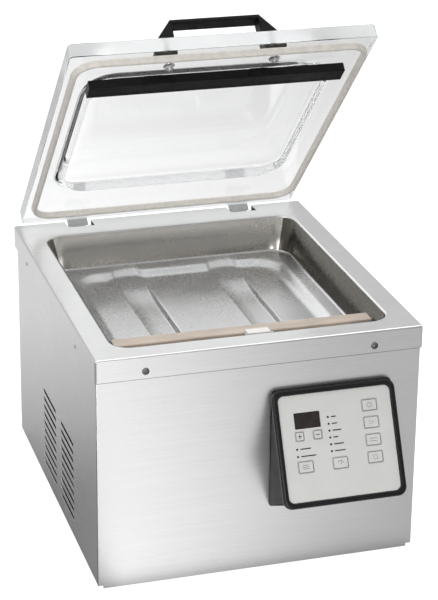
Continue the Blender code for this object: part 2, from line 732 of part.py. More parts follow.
def control_face(frame):
    half_w, half_h = (PANEL_X1 - PANEL_X0) / 2, PANEL_LEN / 2

    def ring(inset, depth):
        ring_points = rounded_ring(-half_w + inset, half_w - inset, -half_h + inset,
                                   half_h - inset, BEZEL_R - inset * 0.6, 0, steps=5)
        return [(x, depth, z) for x, z, _ in ring_points]

    rings = [ring(0.0, BEZEL_T), ring(0.0, 0.002), ring(0.0018, 0.0), ring(BEZEL_W - 0.0012, 0.0),
             ring(BEZEL_W, 0.0012), ring(BEZEL_W, BEZEL_T)]
    ring_loft("control_bezel", rings, BLACK, frame, closed=True)

    inset = BEZEL_W + GAP
    front = BEZEL_T - OVERLAY_T - 0.0022
    bounds = (-half_w + inset, half_w - inset, -half_h + inset, half_h - inset)
    overlay = place("control_overlay", face_mesh("control_overlay", bounds, 0.0065, front,
                                                 OVERLAY_T), ((0.58, 0.58, 0.56), 0.45), frame)
    holes = [rounded_outline(*sized(*key[1:], grow=GAP), 0.0016) for key in KEYS]
    holes.append(rounded_outline(*sized(*DISPLAY, grow=GAP), 0.001))
    cut(overlay, outline_mesh("overlay_holes", holes, 0.004,
                              plane((1, 0, 0), (0, 0, 1), (0, front, 0))))
    place("display_window", face_mesh("display_window", sized(*DISPLAY), 0.001, front + 0.0002,
                                      OVERLAY_T - 0.0004), ((0.03, 0.02, 0.02), 0.15), frame)
    for name, *shape in KEYS:
        place(name, face_mesh(name, sized(*shape), 0.0015, front - 0.0002, KEY_T),
              ((0.62, 0.62, 0.60), 0.45), frame)
    box("control_board", (-0.055, BEZEL_T + HOUSING_WALL + 0.004, -0.042),
        (0.055, BEZEL_T + HOUSING_WALL + 0.006, 0.020), ((0.02, 0.12, 0.05), 0.5), frame)


# Internals --------------------------------------------------------------------------------------

PUMP_Z = 0.075
PUMP_Y = 0.085


def pump():
    """A small rotary-vane pump: the motor, the vane block with its oil case, and the filter."""
    motor = rod("pump_motor", (-0.010, PUMP_Y, PUMP_Z), "X", 0.052, 0.120, ZINC, sides=32)
    feet_mesh = box_mesh("motor_cradle", (0.005, PUMP_Y - 0.035, SIDE_Z + 0.002 + GAP),
                         (0.095, PUMP_Y + 0.035, PUMP_Z - 0.030))
    cut(motor, feet_mesh, "UNION")
    head = box("pump_head", (-0.095, PUMP_Y - 0.048, 0.025), (-0.010 - GAP, PUMP_Y + 0.048, 0.125),
               ((0.35, 0.37, 0.38), 0.55, 0.6), edge=0.006)
    filter_can = rod("pump_filter", (-0.055, PUMP_Y, 0.125 + GAP), "Z", 0.028, 0.048,
                     ((0.7, 0.7, 0.68), 0.45), sides=28)
    bevel(filter_can, 0.003)
    return head


def transformer():
    core = box("transformer", (-0.150, -0.150, SIDE_Z + 0.002 + GAP), (-0.075, -0.090, 0.068),
               ((0.25, 0.24, 0.23), 0.6, 0.5))
    cut(core, box_mesh("transformer_coil", (-0.141, -0.160, 0.020), (-0.084, -0.080, 0.056)),
        "UNION")
    return core


def vacuum_valve():
    valve = box("vacuum_valve", (0.020, -0.130, 0.140), (0.056, -0.094, 0.170),
                ((0.6, 0.5, 0.25), 0.35, 1.0), edge=0.001)
    cut(valve, rod_mesh("valve_coil", (0.038, -0.112, 0.110), "Z", 0.013, 0.035, 20), "UNION")
    return valve


def vacuum_hose():
    """Reinforced hose from the valve's rear port to the pump's inlet."""
    points = ((0.038, -0.0935, 0.155), (0.038, -0.070, 0.155), (0.028, -0.040, 0.151),
              (0.000, -0.020, 0.142), (-0.034, -0.008, 0.128), (-0.051, 0.004, 0.109),
              (-0.055, 0.018, 0.095), (-0.055, 0.028, 0.090), (-0.055, 0.0365, 0.090))
    curve = bpy.data.curves.new("vacuum_hose", "CURVE")
    curve.dimensions = "3D"
    curve.bevel_depth = 0.006
    curve.bevel_resolution = 2
    curve.use_fill_caps = True
    spline = curve.splines.new("POLY")
    spline.points.add(len(points) - 1)
    for point, co in zip(spline.points, points):
        point.co = (*co, 1)
    hose = bpy.data.objects.new("vacuum_hose", curve)
    MACHINE.objects.link(hose)
    hose.parent = CABINET
    curve.materials.append(material("vacuum_hose", (0.10, 0.10, 0.11), 0.6))
    return hose


FAN_X = -0.1545
FAN_Y = 0.035
FAN_Z = 0.072
FAN_HALF = 0.040


def cooling_fan():
    """A square fan behind the side vents, and its rotor of five blades."""
    deep = 0.020
    fan = box("fan_frame", (FAN_X - deep / 2, FAN_Y - FAN_HALF, FAN_Z - FAN_HALF),
              (FAN_X + deep / 2, FAN_Y + FAN_HALF, FAN_Z + FAN_HALF), BLACK)
    cut(fan, rod_mesh("fan_duct", (FAN_X - 0.02, FAN_Y, FAN_Z), "X", 0.037, 0.04, 32))
    cut(fan, box_mesh("fan_strut", (FAN_X + deep / 2 - 0.003, FAN_Y - 0.0385, FAN_Z - 0.003),
                      (FAN_X + deep / 2, FAN_Y + 0.0385, FAN_Z + 0.003)), "UNION")
    hub = empty("fan_axle", (FAN_X, FAN_Y, FAN_Z))
    rotor = rod("fan_rotor", (-deep / 2 + 0.002, 0, 0), "X", 0.014, 0.012, BLACK, hub, sides=24)
    for blade in range(5):
        turn = Matrix.Rotation(2 * math.pi * blade / 5, 4, "X")
        mesh = box_mesh(f"fan_blade_{blade}", (-0.0007, -0.008, 0.010), (0.0007, 0.008, 0.034))
        mesh.transform(turn @ Matrix.Translation((-0.002, 0, 0))
                       @ Matrix.Rotation(math.radians(52), 4, "Z"))
        cut(rotor, mesh, "UNION")
    return fan


def power_inlet():
    """The socket for a mains lead, in the rear panel's window."""
    inlet = box("power_inlet", (0.099, CAB_BACK - 0.022, 0.039), (0.127, CAB_BACK + 0.0022, 0.061),
                BLACK, edge=0.0008)
    cut(inlet, box_mesh("inlet_socket", (0.1025, CAB_BACK - 0.012, 0.0430),
                        (0.1235, CAB_BACK + 0.006, 0.0570)))
    return inlet


def build():
    base_plate()
    front_panel()
    side_panel("left_side_panel", -1, True)
    side_panel("right_side_panel", 1, False)
    rear_panel()
    top_deck()
    chamber_tub()
    feet()
    deck_screws()
    lift_cylinders()
    seal_bar()
    nozzle_block()
    frame = lid_frame()
    plate = lid_plate(frame)
    lid_gasket(frame)
    counter_bar(frame)
    handle = lid_handle(frame)
    handle_bolts(plate, handle, frame)
    for name, side in (("left", -1), ("right", 1)):
        hinge(name, side * HINGE_X, frame)
    control_housing()
    control_face(panel_frame())
    pump()
    transformer()
    vacuum_valve()
    vacuum_hose()
    cooling_fan()
    power_inlet()


build()
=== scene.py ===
"""Looks of a table-top chamber vacuum packing machine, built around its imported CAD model.

Everything is in metres in the row frame: +Z up, the front facing -Y. The lid's pieces are drawn
lying flat, as on the closed machine, and LID turns them open about the hinge. The key panel's
pieces are drawn upright, x right, z up the face and y into the machine, and PANEL tilts them."""

import json
import math

import bmesh
import bpy
from mathutils import Matrix, Vector


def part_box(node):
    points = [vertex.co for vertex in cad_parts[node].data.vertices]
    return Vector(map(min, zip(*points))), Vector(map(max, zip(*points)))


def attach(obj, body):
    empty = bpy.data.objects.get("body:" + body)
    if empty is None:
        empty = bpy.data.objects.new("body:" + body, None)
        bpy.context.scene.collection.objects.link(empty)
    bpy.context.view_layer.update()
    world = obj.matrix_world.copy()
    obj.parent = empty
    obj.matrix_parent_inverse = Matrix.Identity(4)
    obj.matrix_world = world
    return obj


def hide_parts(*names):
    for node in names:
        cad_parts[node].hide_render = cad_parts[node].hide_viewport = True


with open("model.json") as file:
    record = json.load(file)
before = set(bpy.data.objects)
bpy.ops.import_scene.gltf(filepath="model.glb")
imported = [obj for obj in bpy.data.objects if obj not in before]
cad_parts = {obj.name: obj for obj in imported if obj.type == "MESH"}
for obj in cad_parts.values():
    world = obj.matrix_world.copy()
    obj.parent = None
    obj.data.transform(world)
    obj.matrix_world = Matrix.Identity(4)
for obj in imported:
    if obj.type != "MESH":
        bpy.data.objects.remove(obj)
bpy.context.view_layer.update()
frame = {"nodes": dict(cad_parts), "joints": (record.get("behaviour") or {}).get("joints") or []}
NODES = frame["nodes"]
JOINTS = {joint["name"]: joint for joint in frame["joints"]}

MM = 0.001
WELD = 0.00001
ROW = Matrix.Identity(4)
SIDES = ("left", "right")


# Local frames ----------------------------

def centre(lo, hi):
    return (lo + hi) / 2


def box_in(node, matrix):
    """Lowest and highest corner of a CAD node, measured in a local frame."""
    inverse = matrix.inverted()
    points = [inverse @ v.co for v in NODES[node].data.vertices]
    lo = Vector([min(p[axis] for p in points) for axis in range(3)])
    hi = Vector([max(p[axis] for p in points) for axis in range(3)])
    return lo, hi


def lid_matrix():
    """The closed lid's frame, turned open about the hinge."""
    hinge = JOINTS["lid_hinge"]
    opened = math.radians(hinge["range_deg"][1])
    return Matrix.Translation(hinge["pos_m"]) @ Matrix.Rotation(-opened, 4, "X")


def panel_matrix():
    """The key panel's frame, with its origin on the middle of the bezel's front face."""
    inward = Vector(JOINTS["key_power_press"]["axis"])
    tilted = Matrix.Rotation(math.atan2(inward.z, inward.y), 4, "X")
    lo, hi = box_in("control_bezel", tilted)
    return tilted @ Matrix.Translation(((lo.x + hi.x) / 2, lo.y, (lo.z + hi.z) / 2))


LID = lid_matrix()
PANEL = panel_matrix()
FACING = {                    # turns a body's z axis to face that way
    "-Y": Matrix.Rotation(math.radians(90), 4, "X"),
    "+Y": Matrix.Rotation(math.radians(-90), 4, "X"),
    "-X": Matrix.Rotation(math.radians(-90), 4, "Y"),
    "+X": Matrix.Rotation(math.radians(90), 4, "Y"),
}


# Outlines --------------------------------

def front_bounds(lo, hi, grow=0.0):
    """A box's bounds as seen from the front: x0, x1, z0 and z1."""
    return lo.x - grow, hi.x + grow, lo.z - grow, hi.z + grow


def top_bounds(lo, hi):
    """A box's bounds as seen from above: x0, x1, y0 and y1."""
    return lo.x, hi.x, lo.y, hi.y


def spread(start, end, count):
    return [start + (end - start) * k / count for k in range(count + 1)]


def arc(x, y, radius, start, end, steps=14):
    """Points along a part of a circle, with its angles in degrees."""
    angles = [math.radians(start + (end - start) * k / steps) for k in range(steps + 1)]
    return [(x + radius * math.cos(a), y + radius * math.sin(a)) for a in angles]


def quarter_turn(steps=5):
    """Cosine and sine along a quarter of a circle."""
    return arc(0, 0, 1, 0, 90, steps)


def polygon(radius, count):
    angles = [2 * math.pi * k / count for k in range(count)]
    return [(radius * math.cos(a), radius * math.sin(a)) for a in angles]


def rectangle(u0, u1, v0, v1):
    return [(u0, v0), (u1, v0), (u1, v1), (u0, v1)]


def mirrored(half):
    """A symmetric outline from its right half."""
    return half + [(-u, v) for u, v in reversed(half)]


def rounded_ring(x0, x1, y0, y1, radius, steps=8):
    """A rectangle with round corners, anticlockwise from the right back corner."""
    points = []
    for x, y, start in ((x1 - radius, y1 - radius, 0), (x0 + radius, y1 - radius, 90),
                        (x0 + radius, y0 + radius, 180), (x1 - radius, y0 + radius, 270)):
        points += arc(x, y, radius, start, start + 90, steps)
    return points


def inset_ring(bounds, inset, height, radius, steps=8):
    """A level ring with round corners, drawn in from its bounds x0, x1, y0 and y1."""
    x0, x1, y0, y1 = bounds
    points = rounded_ring(x0 + inset, x1 - inset, y0 + inset, y1 - inset, radius, steps)
    return [(x, y, height) for x, y in points]


def slot_outline(u0, u1, v, half):
    """A slot with round ends, from u0 to u1, centred on v."""
    return arc(u1 - half, v, half, -90, 90, 6) + arc(u0 + half, v, half, 90, 270, 6)


# Shapes ----------------------------------

def placed(name, data, matrix=ROW):
    """A new object in the scene."""
    obj = bpy.data.objects.new(name, data)
    bpy.context.scene.collection.objects.link(obj)
    obj.matrix_world = matrix
    return obj


def finish_mesh(bm):
    """A mesh from welded faces that point out."""
    bmesh.ops.remove_doubles(bm, verts=bm.verts, dist=WELD)
    bmesh.ops.recalc_face_normals(bm, faces=bm.faces)
    mesh = bpy.data.meshes.new("shape")
    bm.to_mesh(mesh)
    bm.free()
    return mesh


def skin(bm, rows):
    """Faces between rows of vertices that go all the way round. A row may be a single tip."""
    for low, high in zip(rows, rows[1:]):
        sides = max(len(low), len(high))
        for i in range(sides):
            j = (i + 1) % sides
            corners = [low[i % len(low)], low[j % len(low)], high[j % len(high)],
                       high[i % len(high)]]
            bm.faces.new(list(dict.fromkeys(corners)))


def loft(rings, closed=False):
    """A solid through a row of rings: capped at its ends, or closed back on its first ring."""
    bm = bmesh.new()
    rows = [[bm.verts.new(p) for p in ring] for ring in rings]
    if closed:
        skin(bm, rows + rows[:1])
    else:
        skin(bm, rows)
        bm.faces.new(rows[0])
        bm.faces.new(rows[-1])
    return finish_mesh(bm)


def turned(profile, sides=32, matrix=ROW):
    """A body turned about z. Its profile runs from one end of the axis to the other."""
    bm = bmesh.new()
    rows = []
    for radius, z in profile:
        points = [(0, 0)] if radius < WELD else polygon(radius, sides)
        rows.append([bm.verts.new((x, y, z)) for x, y in points])
    skin(bm, rows)
    mesh = finish_mesh(bm)
    mesh.transform(matrix)
    return mesh


def block(lo, hi, edge, steps=2):
    """A rectangular block with rounded edges."""
    lo, hi = Vector(lo), Vector(hi)
    bm = bmesh.new()
    fit = Matrix.Translation(centre(lo, hi)) @ Matrix.Diagonal((*(hi - lo), 1.0))
    bmesh.ops.create_cube(bm, size=1.0, matrix=fit)
    bmesh.ops.bevel(bm, geom=bm.edges, offset=edge, segments=steps, profile=0.5,
                    affect="EDGES")
    return finish_mesh(bm)


def plane(x_axis, y_axis, origin):
    """A flat outline's own frame: its two directions, and the way it is extruded."""
    x_axis, y_axis = Vector(x_axis), Vector(y_axis)
    basis = Matrix((x_axis, y_axis, x_axis.cross(y_axis))).transposed().to_4x4()
    return Matrix.Translation(origin) @ basis


def front_view(x=0, y=0, z=0):
    """The frame of an outline in x and z, extruded along y."""
    return plane((1, 0, 0), (0, 0, 1), (x, y, z))


def side_view(x=0, y=0, z=0):
    """The frame of an outline in y and z, extruded along x."""
    return plane((0, 1, 0), (0, 0, 1), (x, y, z))


def trace(curve, points, closed):
    """Adds a row of straight lines to a curve."""
    spline = curve.splines.new("POLY")
    spline.points.add(len(points) - 1)
    for point, co in zip(spline.points, points):
        point.co = (*co, 1)
    spline.use_cyclic_u = closed


def curve_mesh(curve, matrix):
    holder = placed("curve", curve)
    evaluated = holder.evaluated_get(bpy.context.evaluated_depsgraph_get())
    made = bpy.data.meshes.new_from_object(evaluated)
    bpy.data.objects.remove(holder, do_unlink=True)
    bm = bmesh.new()
    bm.from_mesh(made)
    bpy.data.meshes.remove(made)
    mesh = finish_mesh(bm)
    mesh.transform(matrix)
    return mesh


def plate(outlines, thick, edge, matrix, edge_steps=2):
    """Flat outlines cut from a sheet centred on the frame's plane, with every edge rounded."""
    curve = bpy.data.curves.new("plate", "CURVE")
    curve.dimensions = "2D"
    curve.fill_mode = "BOTH"
    curve.extrude = thick / 2 - edge
    curve.bevel_depth = edge
    curve.bevel_resolution = edge_steps
    curve.offset = -edge
    curve.resolution_u = 1
    for outline in outlines:
        trace(curve, [(u, v, 0) for u, v in outline], closed=True)
    return curve_mesh(curve, matrix)


def joined(meshes):
    """Several bodies in one mesh."""
    bm = bmesh.new()
    for mesh in meshes:
        bm.from_mesh(mesh)
        bpy.data.meshes.remove(mesh)
    mesh = bpy.data.meshes.new("joined")
    bm.to_mesh(mesh)
    bm.free()
    return mesh


def boolean_cut(obj, mesh):
    """Takes a mesh out of an object for good, so that no cutter stays in the scene."""
    cutter = placed("cutter", mesh, obj.matrix_world)
    mod = obj.modifiers.new("cut", "BOOLEAN")
    mod.operation = "DIFFERENCE"
    mod.solver = "EXACT"
    mod.object = cutter
    bpy.context.view_layer.update()
    evaluated = obj.evaluated_get(bpy.context.evaluated_depsgraph_get())
    made = bpy.data.meshes.new_from_object(evaluated)
    obj.modifiers.remove(mod)
    bpy.data.objects.remove(cutter, do_unlink=True)
    made.name = obj.data.name
    obj.data = made
    made.set_sharp_from_angle(angle=math.radians(40))


# Pieces ----------------------------------

def even_normals(obj):
    """Keeps the shading of flat faces flat beside their rounded edges."""
    mod = obj.modifiers.new("even_normals", "WEIGHTED_NORMAL")
    mod.keep_sharp = True
    mod.weight = 80


def piece(name, mesh, look, body, matrix=ROW, stands_for=(), sharp=40):
    """A visible piece: its material, the body that it rides on and the CAD nodes it replaces."""
    mesh.name = name
    obj = placed(name, mesh, matrix)
    mesh.materials.clear()
    mesh.materials.append(look)
    mesh.shade_smooth()
    mesh.set_sharp_from_angle(angle=math.radians(sharp))
    even_normals(obj)
    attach(obj, body)
    if stands_for:
        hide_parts(*stands_for)
    return obj


def lid_piece(name, mesh, look, node, sharp=40):
    """A piece on the lid, in place of a CAD node."""
    piece(name, mesh, look, "lid", LID, [node], sharp)


def panel_piece(name, mesh, look, slot, *nodes):
    """A fixed piece of the key panel, in place of CAD nodes if it has any."""
    piece(name, mesh, look, "cabinet", PANEL, nodes)


# Materials -------------------------------

def shade(colour, factor):
    return tuple(min(1.0, c * factor) for c in colour)


class Nodes:
    """A node tree under construction."""

    def __init__(self, tree):
        self.tree = tree

    def feed(self, socket, value):
        """Links an output to a socket, or gives the socket a constant."""
        if isinstance(value, bpy.types.NodeSocket):
            self.tree.links.new(value, socket)
        else:
            socket.default_value = value

    def node(self, kind, **inputs):
        made = self.tree.nodes.new("ShaderNode" + kind)
        for name, value in inputs.items():
            self.feed(made.inputs[name.replace("_", " ")], value)
        return made

    def ranged(self, value, low, high, start=0.3, end=0.7):
        """From low to high as the value goes from start to end."""
        return self.node("MapRange", Value=value, From_Min=start, From_Max=end, To_Min=low,
                         To_Max=high).outputs["Result"]

    def maths(self, operation, a, b):
        made = self.node("Math")
        made.operation = operation
        self.feed(made.inputs[0], a)
        self.feed(made.inputs[1], b)
        return made.outputs["Value"]

    def added(self, a, b):
        return self.maths("ADD", a, b)

    def times(self, a, b):
        return self.maths("MULTIPLY", a, b)

    def blended(self, amount, low, high):
        """A colour between two, by an amount from 0 to 1."""
        made = self.node("Mix")
        made.data_type = "RGBA"
        self.feed(made.inputs[0], amount)
        for socket, colour in zip([s for s in made.inputs if s.type == "RGBA"], (low, high)):
            socket.default_value = (*colour, 1.0)
        return next(s for s in made.outputs if s.type == "RGBA")

    def mixed(self, amount, first, second):
        """One shader where the amount is 0, and another where it is 1."""
        made = self.node("MixShader")
        for socket, value in zip(made.inputs, (amount, first, second)):
            self.feed(socket, value)
        return made.outputs["Shader"]


class Look(Nodes):
    """A material under construction, with the coordinates that its textures read."""

    def __init__(self, name, colour, roughness, metallic=0.0):
        self.mat = bpy.data.materials.new(name)
        self.mat.use_nodes = True
        super().__init__(self.mat.node_tree)
        self.shader = self.tree.nodes["Principled BSDF"]
        self.colour = colour
        self.set("Base Color", (*colour, 1.0))
        self.set("Roughness", roughness)
        self.set("Metallic", metallic)
        self.coords = self.node("TexCoord").outputs["Object"]

    def set(self, socket, value):
        """Gives one of the shader's sockets an output or a constant."""
        self.feed(self.shader.inputs[socket], value)

    def noise(self, stretch, detail, roughness):
        """Noise with its own scale along each axis, in features per metre."""
        mapped = self.node("Mapping", Vector=self.coords, Scale=stretch)
        return self.node("TexNoise", Vector=mapped.outputs["Vector"], Scale=1.0, Detail=detail,
                         Roughness=roughness).outputs["Fac"]

    def clouds(self, scale, detail, roughness):
        """Noise with the same scale along every axis."""
        return self.noise((scale,) * 3, detail, roughness)

    def mottle(self, value, dark, light, start=0.3, end=0.7):
        """Varies the colour between a darker and a lighter shade of it."""
        self.set("Base Color", self.blended(self.ranged(value, 0.0, 1.0, start, end),
                                            shade(self.colour, dark), shade(self.colour, light)))

    def bump(self, height, strength, distance):
        made = self.node("Bump", Height=height, Strength=strength, Distance=distance)
        self.set("Normal", made.outputs["Normal"])


def brushed_steel(name, grain):
    """Satin sheet with its grain along one axis: hairline scratches, broader streaks, smears."""
    rough = 0.31
    look = Look(name, (0.69, 0.692, 0.69), rough, 1.0)
    fine, broad = [2300.0] * 3, [900.0] * 3
    fine[grain], broad[grain] = 14.0, 6.0
    scratches = look.noise(fine, 3.0, 0.7)
    streaks = look.noise(broad, 2.0, 0.6)
    smears = look.clouds(7.0, 3.0, 0.55)
    lines = look.added(look.times(scratches, 0.5), look.times(streaks, 0.5))
    look.mottle(lines, 0.955, 1.03, 0.38, 0.62)
    look.set("Roughness", look.added(look.ranged(scratches, rough - 0.05, rough + 0.06),
                                     look.ranged(smears, -0.02, 0.03)))
    look.bump(lines, 0.16, 0.00005)
    return look.mat


def drawn_steel(name, colour, rough):
    """Deep-drawn sheet: smoother than the cabinet, with a faint haze and a few wiping marks."""
    look = Look(name, colour, rough, 1.0)
    haze = look.clouds(11.0, 3.0, 0.55)
    wiped = look.clouds(240.0, 3.0, 0.6)
    look.mottle(haze, 0.95, 1.04)
    look.set("Roughness", look.added(look.ranged(haze, rough - 0.02, rough + 0.03),
                                     look.ranged(wiped, -0.01, 0.015)))
    look.bump(haze, 0.04, 0.0002)
    return look.mat


def mottled(name, colour, rough, cloud, shades, sheen, grain, relief, metallic=0.0, level=0.5):
    """A finish whose shade and sheen vary with a cloudy noise, over a fine grain.

    cloud is the noise's scale, detail and roughness, and shades the darkest and lightest factor.
    sheen is how far the roughness goes down and up, grain the grain's scale, and relief its
    bump's strength and distance."""
    look = Look(name, colour, rough, metallic)
    look.set("Specular IOR Level", level)
    haze = look.clouds(*cloud)
    look.mottle(haze, *shades)
    look.set("Roughness", look.ranged(haze, rough - sheen[0], rough + sheen[1]))
    look.bump(look.clouds(grain, 2.0, 0.5), *relief)
    return look.mat


def plated_steel(name, colour, rough):
    return mottled(name, colour, rough, (120.0, 3.0, 0.6), (0.88, 1.06), (0.05, 0.10), 900.0,
                   (0.15, 0.00005), metallic=1.0)


def moulded_plastic(name, colour, rough, grain=0.35, level=0.5):
    """Moulded plastic with a fine spark-eroded grain and slightly uneven sheen."""
    return mottled(name, colour, rough, (45.0, 3.0, 0.5), (0.85, 1.15), (0.05, 0.07), 1500.0,
                   (grain, 0.00008), level=level)


def rubber(name, colour, rough):
    return mottled(name, colour, rough, (160.0, 4.0, 0.65), (0.9, 1.12), (0.08, 0.08), 2200.0,
                   (0.25, 0.00006), level=0.35)


def membrane(name, colour):
    """Matt polyester film with an even fine texture."""
    return mottled(name, colour, 0.48, (35.0, 4.0, 0.6), (0.975, 1.02), (0.06, 0.06), 2600.0,
                   (0.15, 0.00004))


def acrylic(name, tint, clearness, low, high):
    """Thick clear cast sheet with a faint haze. Light on its way to a lamp passes through."""
    look = Look(name, tint, high)
    look.set("Transmission Weight", clearness)
    look.set("IOR", 1.24)
    look.set("Roughness", look.ranged(look.clouds(30.0, 4.0, 0.6), low, high))
    look.bump(look.clouds(7.0, 2.0, 0.5), 0.10, 0.0010)
    clear = look.node("BsdfTransparent", Color=(0.93, 0.94, 0.94, 1.0))
    to_lamp = look.node("LightPath").outputs["Is Shadow Ray"]
    look.feed(look.tree.nodes["Material Output"].inputs["Surface"],
              look.mixed(to_lamp, look.shader.outputs["BSDF"], clear.outputs["BSDF"]))
    return look.mat


def glass_cloth(name, colour):
    """Woven glass cloth with a brown non-stick coat: a fine plain weave under a satin skin."""
    look = Look(name, colour, 0.42)
    threads = []
    for axis in "XY":
        wave = look.node("TexWave", Vector=look.coords, Scale=260.0, Distortion=0.4)
        wave.wave_type = "BANDS"
        wave.bands_direction = axis
        threads.append(wave.outputs["Fac"])
    stain = look.noise((22.0, 90.0, 90.0), 4.0, 0.6)
    look.mottle(stain, 0.80, 1.12)
    look.set("Roughness", look.ranged(stain, 0.34, 0.50))
    look.bump(look.maths("MAXIMUM", *threads), 0.35, 0.0001)
    return look.mat


def tinted_window(name):
    look = Look(name, (0.018, 0.013, 0.012), 0.10)
    smudge = look.clouds(120.0, 3.0, 0.6)
    look.set("Base Color", look.blended(look.ranged(smudge, 0.0, 1.0), (0.014, 0.010, 0.010),
                                        (0.024, 0.018, 0.016)))
    look.set("Roughness", look.ranged(smudge, 0.07, 0.17))
    look.bump(smudge, 0.05, 0.0001)
    return look.mat


def studio_floor(name):
    """A pale floor that is lit up, as in a white photo tent. In reflections it is brightest in
    front of the cabinet's left half and far behind it."""
    look = Look(name, (0.30, 0.30, 0.30), 0.9)
    look.set("Roughness", look.ranged(look.clouds(2.0, 3.0, 0.5), 0.85, 0.95))
    look.set("Specular IOR Level", 0.0)
    look.set("Emission Color", (1.0, 1.0, 1.0, 1.0))
    place = look.node("SeparateXYZ", Vector=look.node("NewGeometry").outputs["Position"])
    x, y = place.outputs["X"], place.outputs["Y"]
    across = look.ranged(x, 1.05, 0.24, -0.14, 0.22)
    in_front = look.ranged(y, 0.0, 1.0, -0.17, -0.22)
    beside = look.ranged(x, 0.0, 1.0, -0.19, -0.15)
    behind = look.ranged(y, 0.0, 0.56, 0.05, 0.62)
    mirrored = look.added(look.times(across, look.times(in_front, beside)), behind)
    through = look.added(look.ranged(x, 0.80, 0.38, -0.2, 1.1),
                         look.ranged(y, 0.0, 0.60, 2.5, 3.5))
    path = look.node("LightPath").outputs
    passed = path["Is Transmission Ray"]
    reflected = look.times(path["Is Glossy Ray"], look.maths("SUBTRACT", 1.0, passed))
    strength = look.added(look.times(reflected, mirrored), look.times(passed, through))
    look.set("Emission Strength", look.added(strength, path["Is Camera Ray"]))
    return look.mat


STEEL_X = brushed_steel("steel_grain_x", 0)
STEEL_Y = brushed_steel("steel_grain_y", 1)
CHAMBER = drawn_steel("steel_drawn", (0.60, 0.60, 0.605), 0.27)
# Painted shade: the chamber's walls get a darker copy of the floor's steel, and its side walls a
# far darker one, though the tub is one sheet of steel.
CHAMBER_WALL_PAINTED_SHADE = drawn_steel("steel_drawn_wall_painted_shade", (0.47, 0.452, 0.42), 0.25)
CHAMBER_SIDE_PAINTED_SHADE = drawn_steel("steel_drawn_side_painted_shade", (0.085, 0.080, 0.070), 0.27)
PLATED = plated_steel("steel_plated", (0.60, 0.60, 0.59), 0.22)
ZINC = plated_steel("zinc", (0.50, 0.51, 0.52), 0.40)
BLACK = moulded_plastic("plastic_black", (0.004, 0.004, 0.0045), 0.46, 0.2, 0.12)
GREY = moulded_plastic("plastic_dark_grey", (0.012, 0.012, 0.013), 0.50, level=0.25)
GLOSS_BLACK = moulded_plastic("bezel_black", (0.005, 0.005, 0.006), 0.28, 0.12, 0.35)
WHITE = moulded_plastic("plastic_white", (0.72, 0.71, 0.69), 0.40)
RUBBER = rubber("rubber_black", (0.022, 0.022, 0.022), 0.62)
SILICONE = rubber("silicone_beige", (0.66, 0.63, 0.585), 0.50)
ACRYLIC = acrylic("acrylic_clear", (0.965, 0.97, 0.97), 1.0, 0.0, 0.012)
SAWN_EDGE = acrylic("acrylic_sawn_edge", (0.80, 0.815, 0.82), 0.35, 0.42, 0.60)
TAPE = glass_cloth("non_stick_tape", (0.50, 0.42, 0.35))
FILM = membrane("key_film", (0.58, 0.58, 0.565))
INK = moulded_plastic("print_grey", (0.030, 0.030, 0.032), 0.55, 0.1, 0.2)
DARK_SCREW = plated_steel("steel_screw", (0.20, 0.20, 0.205), 0.34)
LED = moulded_plastic("led_lens", (0.03, 0.02, 0.02), 0.18, 0.05)
WINDOW = tinted_window("display_window_glass")
BOARD = moulded_plastic("board_green", (0.03, 0.13, 0.06), 0.45)
ALUMINIUM = plated_steel("aluminium_bar", (0.42, 0.41, 0.39), 0.40)
BRASS = plated_steel("brass_valve", (0.62, 0.46, 0.20), 0.28)


def repaint(look, *starts):
    """A better finish on CAD nodes that stay as they are, chosen by how their names start."""
    for name, obj in NODES.items():
        if name.startswith(starts):
            for slot in obj.material_slots:
                slot.material = look


# Camera, floor and light -----------------

def camera():
    """Above and to the left of the front, looking down at the open chamber."""
    location = Vector((-0.6357, -2.1001, 1.1496))
    turn, down, roll = (math.radians(a) for a in (17.023, 20.392, 0.717))
    ahead = Vector((math.sin(turn) * math.cos(down), math.cos(turn) * math.cos(down),
                    -math.sin(down)))
    right = Vector((math.cos(turn), -math.sin(turn), 0))
    up = right.cross(ahead)
    x_axis = math.cos(roll) * right + math.sin(roll) * up
    y_axis = math.cos(roll) * up - math.sin(roll) * right
    data = bpy.data.cameras.new("camera")
    data.sensor_width = 36
    data.lens = 123.56
    data.shift_y = -0.1167
    bpy.context.scene.camera = placed("camera", data, plane(x_axis, y_axis, location))
    bpy.context.scene.view_settings.view_transform = "Standard"


def area_light(name, location, target, size, power):
    data = bpy.data.lights.new(name, "AREA")
    data.shape = "RECTANGLE"
    data.size, data.size_y = size
    data.energy = power
    obj = placed(name, data)
    obj.visible_transmission = False      # through the lid, light arrives by shadow rays
    obj.location = location
    obj.rotation_euler = (Vector(target) - Vector(location)).to_track_quat("-Z", "Y").to_euler()


def lamps():
    """A large lamp above, a small one low in front, and one on each side."""
    machine = (0, 0, 0.25)
    area_light("lamp_above", (0.1, 0.5, 2.4), machine, (2.2, 2.2), 30)
    area_light("lamp_left", (-1.9, -1.3, 1.3), machine, (1.0, 1.4), 14)
    area_light("lamp_front", (-0.30, -1.45, 0.36), (-0.15, -0.2, 0.15), (0.55, 0.55), 7)
    area_light("lamp_right", (2.0, -0.6, 1.3), machine, (0.8, 1.4), 5)


